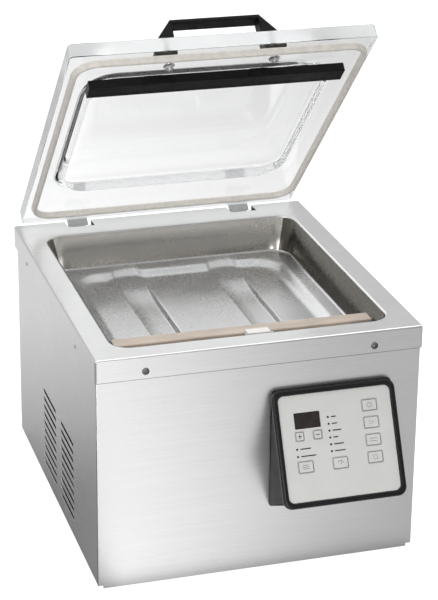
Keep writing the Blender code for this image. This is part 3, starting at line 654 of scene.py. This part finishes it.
def sky():
    """Even light from all round, darker low down and in front. The camera sees it as white."""
    world = bpy.data.worlds.new("studio")
    world.use_nodes = True
    nodes = Nodes(world.node_tree)
    way = nodes.node("SeparateXYZ", Vector=nodes.node("TexCoord").outputs["Generated"]).outputs
    ramp = nodes.node("ValToRGB", Fac=way["Z"])
    low, high = ramp.color_ramp.elements
    low.color = (0.42, 0.43, 0.44, 1)
    high.color = (1.0, 1.0, 1.0, 1)
    high.position = 0.35
    lit = nodes.tree.nodes["Background"]
    nodes.feed(lit.inputs["Color"], ramp.outputs["Color"])
    nodes.feed(lit.inputs["Strength"], nodes.ranged(way["Y"], 0.42, 1.0, -0.6, 0.2))
    white = nodes.node("Background", Color=(1.0, 1.0, 1.0, 1.0))
    to_camera = nodes.node("LightPath").outputs["Is Camera Ray"]
    nodes.feed(nodes.tree.nodes["World Output"].inputs["Surface"],
               nodes.mixed(to_camera, lit.outputs["Background"], white.outputs["Background"]))
    bpy.context.scene.world = world


def backdrop():
    """A pale floor that curves up into a wall behind."""
    reach, bend = 6.0, 2.0
    rows = [(-reach, 0.0), *arc(reach - bend, bend, bend, -90, 0, 6), (reach, reach)]
    bm = bmesh.new()
    left, right = ([bm.verts.new((x, y, z)) for y, z in rows] for x in (-reach, reach))
    for i in range(len(rows) - 1):
        bm.faces.new((left[i], right[i], right[i + 1], left[i + 1]))
    mesh = finish_mesh(bm)
    mesh.shade_smooth()
    mesh.materials.append(studio_floor("studio_floor"))
    placed("studio_floor", mesh)


# Cabinet ---------------------------------

VENT_TOP = 119.5 * MM
VENT_PITCH = 10.25 * MM
VENT_ROWS = 10
VENT_HALF = 2.4 * MM


def vent_slots(columns):
    return [slot_outline(u0, u1, VENT_TOP - row * VENT_PITCH, VENT_HALF)
            for u0, u1 in columns for row in range(VENT_ROWS)]


def cabinet_sheet(node, outlines, edge=0.4 * MM):
    """A flat sheet in place of a front, rear or side panel, with its outlines as seen on it."""
    lo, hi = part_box(node)
    middle = centre(lo, hi)
    if hi.x - lo.x < hi.y - lo.y:
        mesh = plate(outlines, hi.x - lo.x, edge, side_view(x=middle.x))
        look = STEEL_Y
    else:
        mesh = plate(outlines, hi.y - lo.y, edge, front_view(y=middle.y))
        look = STEEL_X
    piece(node + "_sheet", mesh, look, "cabinet", stands_for=[node])


def front_panel():
    """The front, with a notch in each lower corner."""
    lo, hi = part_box("front_panel")
    notch = 6 * MM
    notch_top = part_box("left_side_panel")[0].z
    right = [(hi.x - notch, lo.z), (hi.x - notch, notch_top), (hi.x, notch_top), (hi.x, hi.z)]
    cabinet_sheet("front_panel", [mirrored(right)], 0.45 * MM)


def side_panels():
    """The left side has two columns of vent slots, and the right side is plain."""
    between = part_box("front_panel")[0].y + 201.5 * MM
    vents = vent_slots(((between + 3 * MM, between + 70 * MM),
                        (between - 86.5 * MM, between - 21.5 * MM)))
    for node, holes in (("left_side_panel", vents), ("right_side_panel", [])):
        lo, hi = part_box(node)
        cabinet_sheet(node, [rectangle(lo.y, hi.y, lo.z, hi.z), *holes])


def rear_panel():
    """The rear, with the mains inlet's window and a column of vent slots."""
    outlines = [rectangle(*front_bounds(*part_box("rear_panel"))),
                rectangle(*front_bounds(*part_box("power_inlet"), 0.4 * MM))]
    cabinet_sheet("rear_panel", outlines + vent_slots(((-130 * MM, -70 * MM),)))


FLANGE_T = 1.5 * MM
TUB_FLANGE = 9 * MM
OPEN_R = 22 * MM


def opening():
    """The chamber's opening in the deck: x1, y0, y1, from the tub's flange under it."""
    lo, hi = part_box("chamber_tub")
    return hi.x - TUB_FLANGE, lo.y + TUB_FLANGE, hi.y - TUB_FLANGE


def deck():
    """The cabinet's top: a sheet folded down all round, with a rolled edge round the chamber."""
    lo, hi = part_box("top_deck")
    top = hi.z
    fold, roll, corner = 2.2 * MM, 3.0 * MM, 2.6 * MM
    hem, inner_fold, sharpest = 0.3 * MM, 0.6 * MM, 0.4 * MM
    lip, lip_low = 0.9 * MM, top - roll - 1.2 * MM
    x1, y0, y1 = opening()

    def outer(inset, z):
        return inset_ring(top_bounds(lo, hi), inset, z, max(corner - inset, sharpest), 10)

    def inner(grow, z):
        return inset_ring((-x1, x1, y0, y1), -grow, z, OPEN_R + grow, 10)

    rings = [outer(hem, lo.z), outer(0, lo.z + hem)]
    rings += [outer(fold * (1 - c), top - fold * (1 - s)) for c, s in quarter_turn()]
    rings += [inner(roll * (1 - s), top - roll * (1 - c)) for c, s in quarter_turn()]
    rings += [inner(0, lip_low), inner(lip, lip_low), inner(lip, top - roll),
              inner(roll, top - FLANGE_T), outer(FLANGE_T + inner_fold, top - FLANGE_T),
              outer(FLANGE_T, top - FLANGE_T - inner_fold), outer(FLANGE_T, lo.z + hem),
              outer(FLANGE_T - hem, lo.z)]
    obj = piece("deck_shell", loft(rings, closed=True), STEEL_X, "cabinet",
                stands_for=["top_deck"])
    obj.modifiers.remove(obj.modifiers["even_normals"])
    clear, past = 1.2 * MM, 10 * MM
    for side in SIDES:
        base_lo, base_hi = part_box("hinge_base_" + side)
        boolean_cut(obj, block((base_lo.x - clear, base_lo.y - 1.5 * MM, base_lo.z),
                               (base_hi.x + clear, hi.y + past, top + past), 0.2 * MM))
    even_normals(obj)


def painted_shade_seams():
    """Painted shade: black strips in the gaps under the deck's flange and behind the front panel's
    edges.
    """
    deck_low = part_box("top_deck")[0].z
    front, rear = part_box("front_panel"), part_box("rear_panel")
    x0, x1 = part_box("left_side_panel")[0].x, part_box("right_side_panel")[1].x
    y0, y1 = front[0].y, rear[1].y
    low, high = deck_low - 0.8 * MM, deck_low + 1.5 * MM
    out, deep = 0.9 * MM, 0.6 * MM
    strips = [((x0, y0 - out, low), (x1, y0 + deep, high)),
              ((x0, y1 - deep, low), (x1, y1 + out, high)),
              ((x0 - out, y0, low), (x0 + deep, y1, high)),
              ((x1 - deep, y0, low), (x1 + out, y1, high))]
    gap, proud, bottom = 0.55 * MM, 0.12 * MM, front[0].z + 3 * MM
    strips += [((x - proud, front[1].y - gap, bottom), (x + proud, front[1].y + gap, deck_low))
               for x in (x0, x1)]
    mesh = joined([block(lo, hi, 0.05 * MM, 1) for lo, hi in strips])
    # Painted shade: black rubber strips stand in for the shadow in these gaps.
    piece("painted_shade_seams", mesh, RUBBER, "cabinet")


# Chamber ---------------------------------

CHANNEL_X = (-60.5 * MM, 60.5 * MM)
CHANNEL_HALF = 16.5 * MM
CHANNEL_DEEP = 5.8 * MM
SHOULDER = 1.2 * MM           # half the width over which a channel's side goes down
LOBE = 9.0 * MM               # how far a channel's end cuts back into the ledge
LEDGE_START = 9.5 * MM        # where the ledge starts, as an inset from the opening
LEDGE_FRONT = 0.45            # the front ledge's width, against 1 at the sides
FLOOR_INSET = 41.0 * MM
FLOOR_DEEP = 52.0 * MM
SLOPE_DEEP = 44.7 * MM        # from here down, the slope round the floor has the channels in it
TUB_WALL = ((FLOOR_INSET, FLOOR_DEEP), (34.5 * MM, FLOOR_DEEP), (25.0 * MM, 44.9 * MM),
            (8.2 * MM, 42.9 * MM), (1.1 * MM, 2.0 * MM))      # inset and depth, going up
TUB_BENDS = (4.5 * MM, 3.6 * MM, 2.4 * MM)
# Above this depth the tub's faces get the darker wall steels, as painted shade.
PAINTED_SHADE_LOW = 41.5 * MM
TUB_SHEET = 1.2 * MM


def eased(value, start, end):
    """A smooth step from 0 at the start to 1 at the end."""
    amount = min(1.0, max(0.0, (value - start) / (end - start)))
    return amount * amount * (3 - 2 * amount)


def bent(points, reach, steps=6):
    """A path with each inner corner bent round, starting and ending reach away from it."""
    points = [Vector(point) for point in points]
    path = [points[0]]
    for before, corner, after, away in zip(points, points[1:], points[2:], reach):
        start = corner + (before - corner).normalized() * away
        end = corner + (after - corner).normalized() * away
        path += [start * (1 - share) ** 2 + corner * 2 * share * (1 - share) + end * share ** 2
                 for share in spread(0, 1, steps)]
    return path + [points[-1]]


def in_channel(x, soft):
    """1 in a channel of the floor and 0 beside it, over a shoulder of twice soft."""
    return max(eased(CHANNEL_HALF - abs(x - axis), -soft, soft) for axis in CHANNEL_X)


def chamber_tub():
    """A deep-drawn tub: walls, a ledge round the floor, and two channels that cut into the ledge
    behind. The floor is a grid, and each level above it is a ring on the grid's rim."""
    x1, y0, y1 = opening()
    deck_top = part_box("top_deck")[1].z

    def level(inset):
        """Half width, front, back and corner radius at an inset from the opening."""
        in_front = inset - (1 - LEDGE_FRONT) * max(0.0, inset - LEDGE_START)
        return x1 - inset, y0 + in_front, y1 - inset, OPEN_R + 0.35 * inset

    half_x, front, back, radius = level(FLOOR_INSET)
    middle_y = (front + back) / 2
    straight = half_x - radius
    shoulders = [axis + side * CHANNEL_HALF + step * SHOULDER for axis in CHANNEL_X
                 for side in (-1, 1) for step in (-4.5, -2.4, -1.2, -0.7, -0.25, 0.25, 0.7, 1.2)]
    between = spread(-straight, straight, 8) + [x for x in shoulders if abs(x) < straight]
    xs = spread(-half_x, -straight, 6)[:-1] + sorted(between) + spread(straight, half_x, 6)[1:]
    ys = (spread(front, front + radius, 6)[:-1] + spread(front + radius, back - radius, 14)
          + spread(back - radius, back, 10)[1:])
    last_x, last_y = len(xs) - 1, len(ys) - 1

    def rounded(x, y):
        """Moves a point of the rectangle into the same rectangle with round corners. Also gives
        its direction from the corner's centre, where it has one."""
        cx = math.copysign(half_x - radius, x)
        cy = front + radius if y < middle_y else back - radius
        u = (x - cx) / radius
        v = (y - cy) / radius
        if u * x <= 0 or v * (y - middle_y) <= 0:
            return x, y, None
        turn = (u * math.sqrt(1 - v * v / 2), v * math.sqrt(1 - u * u / 2))
        return cx + radius * turn[0], cy + radius * turn[1], turn

    def pressed(x, y, deep, inset):
        """The channels' effect on a point of the tub: it goes deeper and further back."""
        widening = 3.0 * MM * eased(y, back - 16 * MM, back)
        in_bed = in_channel(x, SHOULDER + widening) * eased(deep, SLOPE_DEEP, FLOOR_DEEP)
        along = eased(y, front + 19 * MM, front + 24 * MM) * eased(y, back - 4 * MM, back - 74 * MM)
        lobe = in_channel(x, 5.0 * MM) * eased(y, back - 25 * MM, back)
        lobe *= eased(inset, LEDGE_START, LEDGE_START + 15.5 * MM)
        return y + LOBE * lobe, deep + CHANNEL_DEEP * in_bed * along

    bm = bmesh.new()
    grid = {}
    for i, x in enumerate(xs):
        for j, y in enumerate(ys):
            px, py, _ = rounded(x, y)
            py, deep = pressed(px, py, FLOOR_DEEP, FLOOR_INSET)
            grid[i, j] = bm.verts.new((px, py, deck_top - deep))
    for i in range(last_x):
        for j in range(last_y):
            bm.faces.new((grid[i, j], grid[i + 1, j], grid[i + 1, j + 1], grid[i, j + 1]))
    rim = [(i, 0) for i in range(last_x)] + [(last_x, j) for j in range(last_y)]
    rim += [(i, last_y) for i in range(last_x, 0, -1)] + [(0, j) for j in range(last_y, 0, -1)]

    rows = [[grid[key] for key in rim]]
    for inset, deep in bent(TUB_WALL, TUB_BENDS)[1:]:
        ring_x, ring_front, ring_back, ring_r = level(inset)
        row = []
        for i, j in rim:
            x, y = xs[i], ys[j]
            turn = rounded(x, y)[2]
            if turn:
                px = math.copysign(ring_x - ring_r, x) + ring_r * turn[0]
                cy = ring_front + ring_r if turn[1] < 0 else ring_back - ring_r
                py = cy + ring_r * turn[1]
            elif j in (0, last_y):
                py = ring_front if j == 0 else ring_back
                at_end = abs(abs(x) - straight) < WELD
                px = math.copysign(ring_x - ring_r, x) if at_end else x
            else:
                px = math.copysign(ring_x, x)
                share = (y - front - radius) / (back - front - 2 * radius)
                py = ring_front + ring_r + share * (ring_back - ring_front - 2 * ring_r)
            pushed = deep
            if j == last_y:
                py, pushed = pressed(px, py + (back - ring_back), deep, inset)
                py -= back - ring_back
            row.append(bm.verts.new((px, py, deck_top - pushed)))
        rows.append(row)
    skin(bm, rows)
    mesh = finish_mesh(bm)
    if mesh.polygons[0].normal.z < 0:
        mesh.flip_normals()
    obj = piece("chamber_pan", mesh, CHAMBER, "cabinet",
                stands_for=["chamber_tub"], sharp=180)
    mesh.materials.append(CHAMBER_WALL_PAINTED_SHADE)
    mesh.materials.append(CHAMBER_SIDE_PAINTED_SHADE)
    # Painted shade: above the ledge the walls get the darker wall steel, and the side walls the far
    # darker side steel, though the tub is one sheet.
    for polygon in mesh.polygons:
        if polygon.center.z > deck_top - PAINTED_SHADE_LOW:
            polygon.material_index = 2 if abs(polygon.normal.x) > 0.6 else 1
    obj.modifiers.remove(obj.modifiers["even_normals"])
    shell = obj.modifiers.new("sheet", "SOLIDIFY")
    shell.thickness = TUB_SHEET
    shell.offset = -1


# Lid -------------------------------------

def lid_plate():
    """A thick clear plate with polished edges, blown out into a shallow dome."""
    lo, hi = box_in("lid_plate", LID)
    under, thick, polish = lo.z, 17 * MM, 1.0 * MM
    over = under + thick
    dome_bounds = (-137 * MM, 137 * MM, hi.y - 326 * MM, hi.y - 80 * MM)

    def outer(inset, z):
        return inset_ring(top_bounds(lo, hi), inset, z, 5 * MM - inset)

    def dome(inset, z):
        return inset_ring(dome_bounds, inset, z, 34 * MM)

    inner_rise, inner_run = 27 * MM, 32 * MM
    shell, outer_run, outer_rise = 7 * MM, 36 * MM, hi.z - over
    lip, foot = 2.5 * MM, 4 * MM
    rings = [dome(inner_run * (1 - c), under + inner_rise * s)
             for c, s in reversed(quarter_turn(12)[1:])]
    rings += [dome(-lip * (1 - c), under + lip * (1 - s)) for c, s in quarter_turn(3)]
    rings += [outer(polish, under), outer(0, under + polish), outer(0, over - polish),
              outer(polish, over)]
    rings += [dome(-shell - foot * (1 - s), over + foot * (1 - c)) for c, s in quarter_turn(3)]
    rings += [dome(outer_run * (1 - c) - shell, over + foot + (outer_rise - foot) * s)
              for c, s in quarter_turn(12)[1:]]
    mesh = loft(rings)
    lid_piece("lid_dome", mesh, ACRYLIC, "lid_plate", 50)
    mesh.materials.append(SAWN_EDGE)
    for polygon in mesh.polygons:
        at = polygon.center
        inside = (abs(at.x) <= hi.x - 2 * polish
                  and lo.y + 2 * polish < at.y < hi.y - 2 * polish)
        if abs(polygon.normal.z) < 0.5 and not inside:
            polygon.material_index = 1


def lid_gasket():
    """A moulded lip seal: a flat base with a rounded lip that closes on the deck."""
    lo, hi = box_in("lid_gasket", LID)
    radius = 27.5 * MM
    profile = [(0.3, 0.0), (0.0, 0.5), (0.0, 2.4), (0.7, 3.2), (1.0, 5.2), (1.6, 6.8),
               (2.6, 7.7), (4.2, 7.7), (5.4, 6.8), (6.0, 5.2), (6.3, 3.2), (7.0, 2.4),
               (7.0, 0.5), (6.7, 0.0)]      # inset from the outer edge and depth below the lid
    deepest = max(deep for _, deep in profile)
    rings = [inset_ring(top_bounds(lo, hi), inset * MM, hi.z - (hi.z - lo.z) * deep / deepest,
                        radius - inset * MM, 12) for inset, deep in profile]
    lid_piece("lid_seal", loft(rings, closed=True), SILICONE, "lid_gasket", 60)


def counter_bar():
    """A black pressure bar with a softer strip along its face, held by two clips."""
    lo, hi = box_in("counter_bar", LID)
    half, low = (hi.y - lo.y) / 2, lo.z
    strip, groove, corner, proud = 5.5 * MM, 0.5 * MM, 0.4 * MM, 0.1 * MM
    right = [(half, hi.z), (half, low + corner), (half - corner, low), (strip + groove, low),
             (strip + groove, low + groove), (strip, low + groove), (strip, low + proud)]
    mesh = plate([mirrored(right)], hi.x - lo.x, 0.15 * MM, side_view(y=(lo.y + hi.y) / 2), 1)
    lid_piece("pressure_bar", mesh, BLACK, "counter_bar")
    for side in SIDES:
        node = "counter_bar_clip_" + side
        mesh = block(*box_in(node, LID), 0.5 * MM, 3)
        lid_piece(node + "_pad", mesh, BLACK, node)


def lid_handle():
    """A bridge handle: a flat grip on two legs that widen outwards to broad feet."""
    lo, hi = box_in("lid_handle", LID)
    high = hi.z - lo.z
    top, window, thick, foot = 51 * MM, 49.5 * MM, 4.5 * MM, 4 * MM
    outline = mirrored([(window, 0), (hi.x, 0), (hi.x, foot), (top, high)])
    outline += [(-window, high - thick), (window, high - thick)]
    mesh = plate([outline], hi.y - lo.y, 0.9 * MM, front_view(y=(lo.y + hi.y) / 2, z=lo.z), 3)
    lid_piece("bridge_handle", mesh, BLACK, "lid_handle")


def nut_and_bolt(side):
    """A hexagon nut on a washer under the lid, and the bolt with its threaded end."""
    lo, hi = box_in("handle_nut_" + side, LID)
    x, y = (lo.x + hi.x) / 2, (lo.y + hi.y) / 2
    outer, bore, thick, edge = (hi.x - lo.x) / 2, 3.4 * MM, 1.0 * MM, 0.3 * MM
    washer = turned([(bore, 0), (outer - edge, 0), (outer, -edge), (outer, -thick + edge),
                     (outer - edge, -thick), (bore, -thick), (bore, 0)], 32,
                    Matrix.Translation((x, y, hi.z)))
    nut_t = hi.z - lo.z - thick
    nut = plate([polygon(4.6 * MM, 6), polygon(3.0 * MM, 18)], nut_t, 0.35 * MM,
                Matrix.Translation((x, y, hi.z - thick - nut_t / 2)))
    lid_piece("handle_nut_set_" + side, joined([washer, nut]), PLATED,
              "handle_nut_" + side)

    lo, hi = box_in("handle_bolt_" + side, LID)
    radius = (hi.x - lo.x) / 2
    pitch, threads, thread_deep, bevel = 1.0 * MM, 8, 0.35 * MM, 0.5 * MM
    profile = [(0, lo.z), (radius - bevel, lo.z), (radius, lo.z + bevel)]
    for turn in range(1, threads + 1):
        z = lo.z + turn * pitch
        profile += [(radius - thread_deep, z), (radius, z + pitch / 2)]
    profile += [(radius, hi.z), (0, hi.z)]
    lid_piece("handle_screw_" + side, turned(profile, 24, Matrix.Translation((x, y, 0))), PLATED,
              "handle_bolt_" + side)


# Key panel -------------------------------

def control_bezel():
    lo, hi = box_in("control_bezel", PANEL)
    corner, width, roll, drop = 10 * MM, 6.2 * MM, 2.6 * MM, 1.2 * MM

    def ring(inset, depth):
        radius = max(corner - inset * 0.6, 1 * MM)
        return [(x, depth, z) for x, z in rounded_ring(*front_bounds(lo, hi, -inset), radius)]

    rings = [ring(0, hi.y)]
    rings += [ring(roll * (1 - c), lo.y + roll * (1 - s)) for c, s in quarter_turn()]
    rings += [ring(width - 1.0 * MM, lo.y), ring(width - 0.4 * MM, lo.y + 0.3 * MM),
              ring(width, lo.y + drop), ring(width, hi.y)]
    panel_piece("panel_bezel", loft(rings, closed=True), GLOSS_BLACK, "black_plastic",
                "control_bezel")


def control_housing():
    """The wedge behind the panel, from its side view, with rounded edges."""
    lo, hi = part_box("control_housing")
    near = 0.3 * MM
    verts = [v.co for v in NODES["control_housing"].data.vertices]
    foot_z = min(v.z for v in verts if abs(v.y - hi.y) < MM)
    nose_z = min(v.z for v in verts if abs(v.y - lo.y) < near)
    brow_y = min(v.y for v in verts if abs(v.z - hi.z) < near)
    outline = [(hi.y, foot_z), (lo.y, nose_z), (brow_y, hi.z), (hi.y, hi.z)]
    mesh = plate([outline], hi.x - lo.x, 3.0 * MM, side_view(x=(lo.x + hi.x) / 2), 4)
    piece("panel_housing", mesh, GREY, "cabinet",
          stands_for=["control_housing"])


def bar(half, z=0.0):
    return [(-half, z), (half, z)]


# Generic marks about each key's middle, in mm: plus, minus, menu bars, a gauge, power, a start
# arrow, a seam and a stop.
ICONS = {
    "key_plus": [bar(2.4), [(0, -2.4), (0, 2.4)]],
    "key_minus": [bar(2.4)],
    "key_function": [bar(3.6, z) for z in (-1.9, 0, 1.9)],
    "key_vacuum": [arc(0, -1.2, 3.6, 20, 160), [(0, -1.6), (1.7, 1.2)]],
    "key_power": [arc(0, 0, 2.6, 120, 420, 20), [(0, 0.4), (0, 3.2)]],
    "key_start": [[(-1.9, -2.4), (2.5, 0), (-1.9, 2.4)]],
    "key_seal": [bar(4.2, z) for z in (-1.5, 1.5)],
    "key_stop": [rectangle(-2.1, 2.1, -2.1, 2.1)],
}
CLOSED_ICONS = ("key_start", "key_stop")
THICK_ICONS = ("key_plus", "key_minus")
PRINT_FLAT = 0.12             # a printed line's height, against a round wire's


def stroke(points, width, depth, closed=False):
    """A printed line of even width on the panel, through points in x and z."""
    curve = bpy.data.curves.new("stroke", "CURVE")
    curve.dimensions = "3D"
    curve.bevel_depth = width / 2
    curve.bevel_resolution = 1
    curve.use_fill_caps = not closed
    trace(curve, [(x, depth, z) for x, z in points], closed)
    return curve_mesh(curve, Matrix.Translation((0, depth * (1 - PRINT_FLAT), 0))
                      @ Matrix.Diagonal((1, PRINT_FLAT, 1, 1)))


def panel_ring(node, radius, grow=0.0):
    """A node's outline on the panel, with round corners."""
    return rounded_ring(*front_bounds(*box_in(node, PANEL), grow), radius)


def panel_plate(node, outlines, edge, edge_steps=2):
    """A plate as thick as a CAD node of the panel, and in its place."""
    lo, hi = box_in(node, PANEL)
    return plate(outlines, hi.y - lo.y, edge, front_view(y=(lo.y + hi.y) / 2), edge_steps)


def key(name):
    """A raised key with a printed outline and its icon. Each rides on its own body."""
    lo, hi = box_in(name, PANEL)
    radius, inset = 1.5 * MM, 0.75 * MM
    mesh = panel_plate(name, [panel_ring(name, radius)], 0.3 * MM, 3)
    piece(name + "_cap", mesh, FILM, name, PANEL, stands_for=[name])
    x, z = (lo.x + hi.x) / 2, (lo.z + hi.z) / 2
    border = panel_ring(name, radius - inset * 0.4, -inset)
    marks = [stroke(border, 0.65 * MM, lo.y, closed=True)]
    width = (0.9 if name in THICK_ICONS else 0.5) * MM
    for line in ICONS[name]:
        points = [(x + u * MM, z + v * MM) for u, v in line]
        marks.append(stroke(points, width, lo.y, name in CLOSED_ICONS))
    piece(name + "_print", joined(marks), INK, name, PANEL)


def membrane_panel():
    """The film with its cut-outs, the display's window, and the keys."""
    gap, window_r, edge = 0.25 * MM, 0.8 * MM, 0.15 * MM
    outlines = [panel_ring("control_overlay", 6.5 * MM)]
    outlines += [panel_ring(name, 1.6 * MM, gap) for name in ICONS]
    outlines.append(panel_ring("display_window", window_r, gap))
    mesh = panel_plate("control_overlay", outlines, edge)
    panel_piece("panel_film", mesh, FILM, "panel_membrane", "control_overlay")
    mesh = panel_plate("display_window", [panel_ring("display_window", window_r)], edge)
    panel_piece("display_glass", mesh, WINDOW, "display_glass", "display_window")
    for name in ICONS:
        key(name)


def panel_lamps():
    """Small round lamps in two rows with a short printed bar beside each."""
    front = box_in("control_overlay", PANEL)[0].y
    spots = [(-9.7, 30 - row * 7.4, length)
             for row, length in enumerate((5.5, 6, 10, 5.5, 11, 12))]
    spots += [(-48.5, -0.9, 12), (-48.5, -8.8, 17)]      # x, z and the bar's length, in mm
    radius, low = 1.25 * MM, -0.3 * MM
    dome = [(0, 0.45 * MM), (radius * 0.5, 0.38 * MM), (radius * 0.85, 0.2 * MM), (radius, 0),
            (radius, low), (0, low)]
    lenses, bars = [], []
    for x, z, length in spots:
        at = Matrix.Translation((x * MM, front, z * MM))
        lenses.append(turned(dome, 16, at @ FACING["-Y"]))
        start = x + 3.6
        bars.append(stroke([(start * MM, z * MM), ((start + length) * MM, z * MM)], 1.5 * MM,
                           front))
    panel_piece("panel_lamps", joined(lenses), LED, "display_glass")
    panel_piece("panel_prints", joined(bars), INK, "panel_membrane")


# Seal bar --------------------------------

def seal_bar():
    """The heated bar with its woven tape wrapped over the top and down both sides."""
    lo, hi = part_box("seal_bar")
    half = (hi.y - lo.y) / 2
    section = side_view((lo.x + hi.x) / 2, (lo.y + hi.y) / 2)
    foot, side = half - 1 * MM, half - 0.4 * MM
    right = [(foot, lo.z), (foot, lo.z + 5 * MM), (side, lo.z + 5.5 * MM), (side, hi.z)]
    mesh = plate([mirrored(right)], hi.x - lo.x, 0.4 * MM, section)
    piece("seal_bar_body", mesh, ALUMINIUM, "seal_bar", stands_for=["seal_bar"])

    tape_lo, tape_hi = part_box("seal_tape")
    top, low, bend, skin_t = tape_hi.z, lo.z + 6 * MM, 1.8 * MM, 0.35 * MM
    outer = mirrored([(half, low), *arc(half - bend, top - bend, bend, 0, 90, 5)])
    inner = [(y * (half - skin_t) / half, z - skin_t * (z > low)) for y, z in reversed(outer)]
    mesh = plate([outer + inner], tape_hi.x - tape_lo.x, 0.1 * MM, section, 1)
    piece("sealing_tape", mesh, TAPE, "seal_bar", stands_for=["seal_tape"], sharp=30)


def bag_nozzle():
    """The gas nozzle's block, with its stem to the side and a foot in front."""
    lo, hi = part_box("nozzle_block")
    body = block((lo.x, lo.y + 5 * MM, lo.z), hi, 0.7 * MM, 3)
    wide, narrow = 1.8 * MM, 1.2 * MM
    at = Matrix.Translation((hi.x - 3 * MM, (lo.y + hi.y) / 2 + 1 * MM, (lo.z + hi.z) / 2))
    stem = turned([(0, 0), (wide, 0), (wide, 4 * MM), (narrow, 5 * MM), (narrow, 7 * MM),
                   (0, 7 * MM)], 16, at @ FACING["+X"])
    foot = block((lo.x + 9 * MM, lo.y, lo.z + 0.5 * MM),
                 (lo.x + 17 * MM, lo.y + 6 * MM, lo.z + 2.8 * MM), 0.3 * MM)
    piece("bag_stop_block", joined([body, stem, foot]), WHITE, "cabinet",
          stands_for=["nozzle_block"])


# Fasteners -------------------------------

def screw(radius, height, cup):
    """A domed head with a cross recess, standing on the xy plane, in a cup washer if it has one."""
    profile = [(radius * s, height * (0.35 + 0.65 * c)) for c, s in quarter_turn(6)]
    profile[0] = (0, height)
    head = placed("head", turned(profile + [(radius, 0), (0, 0)], 28))
    arm, wide, low = radius * 0.62, radius * 0.16, height * 0.35
    for x, y in ((arm, wide), (wide, arm)):
        boolean_cut(head, block((-x, -y, low), (x, y, height * 2), wide * 0.3, 1))
    mesh = head.data
    bpy.data.objects.remove(head, do_unlink=True)
    if not cup:
        return mesh
    washer = turned([(radius * 0.9, 0), (cup, 0), (cup, height * 0.18),
                     (cup * 0.86, height * 0.62), (radius * 1.08, height * 0.66),
                     (radius, height * 0.4), (radius * 0.9, 0)])
    return joined([mesh, washer])


def screws(name, size, places, look=ZINC, stands_for=(), cup=0.0):
    """One piece of several like screws, at places given as a point and the way they face."""
    meshes = []
    for k, (point, way) in enumerate(places):
        head = screw(*size, cup)
        head.transform(Matrix.Translation(point) @ FACING[way]
                       @ Matrix.Rotation(math.radians(25 + 37 * k), 4, "Z"))
        meshes.append(head)
    piece(name, joined(meshes), look, "cabinet", stands_for=stands_for)


def cabinet_screws():
    """Dark screws in cups on the front flange, and small ones on the sides and the rear."""
    for side in SIDES:
        node = "deck_screw_" + side
        lo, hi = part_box(node)
        point = ((lo.x + hi.x) / 2, hi.y, (lo.z + hi.z) / 2)
        screws("deck_screw_head_" + side, (2.6 * MM, 2.0 * MM), [(point, "-Y")], DARK_SCREW,
               [node], 4.0 * MM)
    lo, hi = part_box("top_deck")
    z = hi.z - 21 * MM
    for side, x, way in (("left", lo.x, "-X"), ("right", hi.x, "+X")):
        screws("side_screws_" + side, (2.4 * MM, 1.0 * MM),
               [((x, y, z), way) for y in (hi.y - 76 * MM, lo.y + 91 * MM)])
    lo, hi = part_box("rear_panel")
    inset = 9 * MM
    screws("rear_screws", (3.0 * MM, 1.8 * MM),
           [((x, hi.y, z), "+Y") for z in (lo.z + inset, hi.z - 16 * MM)
            for x in (lo.x + inset, 0.0, hi.x - inset)])


def inlet_pins():
    """The three flat contacts of the mains inlet."""
    lo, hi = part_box("power_inlet")
    x, z = (lo.x + hi.x) / 2, (lo.z + hi.z) / 2
    half_w, half_h = 1 * MM, 2 * MM
    pins = [block((x + u - half_w, hi.y - 14 * MM, z + v - half_h),
                  (x + u + half_w, hi.y - 3 * MM, z + v + half_h), 0.3 * MM)
            for u, v in ((-7 * MM, -1.5 * MM), (0, 2.5 * MM), (7 * MM, -1.5 * MM))]
    piece("inlet_pins", joined(pins), PLATED, "cabinet")


# Everything together ---------------------

def finish_cad_nodes():
    repaint(ZINC, "base_plate", "transformer", "pump_motor", "hinge_")
    repaint(RUBBER, "vacuum_hose", "foot_")
    repaint(PLATED, "lid_spring", "lift_rod")
    repaint(BLACK, "fan_frame", "fan_rotor", "power_inlet", "lift_cylinder")
    repaint(ALUMINIUM, "pump_head")
    repaint(WHITE, "pump_filter")
    repaint(BRASS, "vacuum_valve")
    repaint(BOARD, "control_board")


camera()
sky()
backdrop()
lamps()
finish_cad_nodes()
front_panel()
side_panels()
rear_panel()
deck()
painted_shade_seams()
chamber_tub()
lid_plate()
lid_gasket()
counter_bar()
lid_handle()
for handle_side in SIDES:
    nut_and_bolt(handle_side)
control_bezel()
control_housing()
membrane_panel()
panel_lamps()
seal_bar()
bag_nozzle()
cabinet_screws()
inlet_pins()
